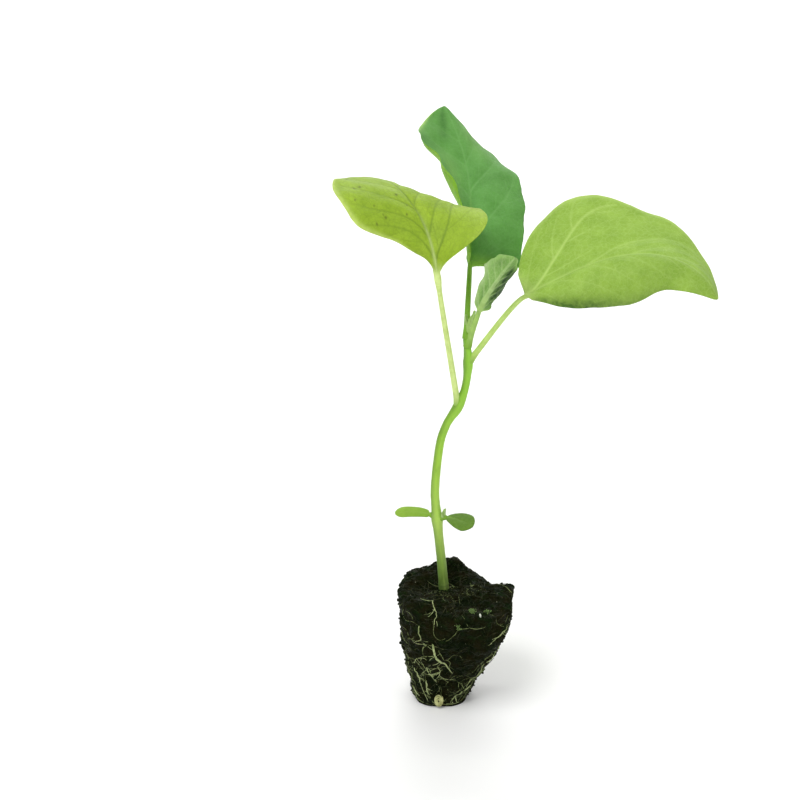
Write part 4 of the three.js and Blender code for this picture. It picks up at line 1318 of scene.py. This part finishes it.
def bud_leaf(node, reach, start, azimuth, elevation, length, width, fold):
    half = [0.5 * width, width, 0.8 * width, 0.3 * width]
    side = blade_half(half, [fold, fold * 0.8], [30, 10], (0.12, 0.3))
    return {**BUD_LEAF, "node": node, "reach": reach, "start": start, "length": length, "left": side,
            "right": side, "azimuth": [azimuth, azimuth], "elevation": elevation, "roll": [0, 0]}


# The innermost leaves, still folded: node, reach, start, azimuth, elevation, length, half-width, fold.
APICAL_LEAVES = [
    (STEM_HEIGHT - 1, (0.7, -0.9, 2.6), (-60, 76), -20, [80, 74], 8.6, 1.5, 58),
    (STEM_HEIGHT - 1, (0.2, 0.9, 2.2), (70, 78), 130, [84, 78], 6.2, 1.2, 62),
    (STEM_HEIGHT - 1, (1.1, -0.2, 1.6), (-10, 74), -75, [72, 60], 4.2, 1.0, 55),
]
AXILLARY_LEAVES = [
    (NODE_COTYLEDONS, (2.3, -1.0, 1.6), (-30, 60), -60, [80, 66], 3.4, 0.8, 45),
    (NODE_COTYLEDONS, (1.9, -1.4, 1.5), (-60, 60), -110, [70, 50], 2.4, 0.7, 45),
]


def add_bud(node, leaves, material):
    shapes, values, places = zip(*(leaf_shape(bud_leaf(*leaf), 30 + i) for i, leaf in enumerate(leaves)))
    together = {key: np.concatenate([v[key] for v in values]) for key in values[0]}
    add_piece(f"{node}_look", joined(shapes), material, [node], together, np.concatenate(places))


bud_green = leaf_material(
    "bud_green",
    [(178, 212, 120), (140, 184, 76), (206, 230, 160), (170, 206, 110), (160, 204, 88), (90, 130, 50),
     (206, 228, 160)], vein_show=0.4, down=0.08)
add_bud("apical_bud", APICAL_LEAVES, bud_green)
add_bud("axillary_bud", AXILLARY_LEAVES, bud_green)

# ---------------------------------------------------------------- studio


def add_studio():
    """A white floor that curves up into a wall."""
    floor_verts, floor_faces = [], []
    width, steps = 3.0, 24
    section = [(-2.0, 0.0), (1.2, 0.0)]
    bend = np.linspace(0, math.pi / 2, steps)[1:]
    section += [(1.2 + 0.9 * math.sin(t), 0.9 - 0.9 * math.cos(t)) for t in bend]
    section += [(2.1, 3.0)]
    for y, z in section:
        floor_verts += [(-width, y, z - 0.00003), (width, y, z - 0.00003)]
    for i in range(len(section) - 1):
        floor_faces.append((2 * i, 2 * i + 1, 2 * i + 3, 2 * i + 2))
    mesh = bpy.data.meshes.new("studio_floor")
    mesh.from_pydata(floor_verts, [], floor_faces)
    mesh.materials.append(floor_material())
    mesh.polygons.foreach_set("use_smooth", np.ones(len(mesh.polygons), bool))
    floor = bpy.data.objects.new("studio_floor", mesh)
    bpy.context.scene.collection.objects.link(floor)


def add_light(name, place, target, size, power):
    data = bpy.data.lights.new(name, "AREA")
    data.shape, data.size, data.energy = "DISK", size, power
    lamp = bpy.data.objects.new(name, data)
    lamp.location = place
    lamp.rotation_euler = (Vector(target) - Vector(place)).to_track_quat("-Z", "Y").to_euler()
    bpy.context.scene.collection.objects.link(lamp)


def add_camera():
    data = bpy.data.cameras.new("camera")
    data.lens, data.sensor_width = 85, 36
    data.clip_start, data.clip_end = 0.01, 20
    camera = bpy.data.objects.new("camera", data)
    camera.location = (-0.0148, -0.5751, 0.3848)
    camera.rotation_euler = (math.radians(65), 0, 0)
    bpy.context.scene.collection.objects.link(camera)
    bpy.context.scene.camera = camera


add_studio()
add_light("key", (-0.35, -0.45, 0.95), (0.02, 0, 0.12), 0.6, 6)
add_light("fill", (0.8, -0.6, 0.5), (0.02, 0, 0.12), 0.8, 2)
add_light("back", (0.1, 0.8, 0.7), (0.02, 0, 0.15), 0.8, 2)
add_light("wall", (0, 0.7, 1.9), (0, 2.1, 1.2), 1.2, 32)
add_camera()

world = bpy.data.worlds.new("studio_air")
world.use_nodes = True
world.node_tree.nodes["Background"].inputs["Color"].default_value = (1, 1, 1, 1)
world.node_tree.nodes["Background"].inputs["Strength"].default_value = 0.47
bpy.context.scene.world = world
bpy.context.scene.view_settings.view_transform = "Standard"
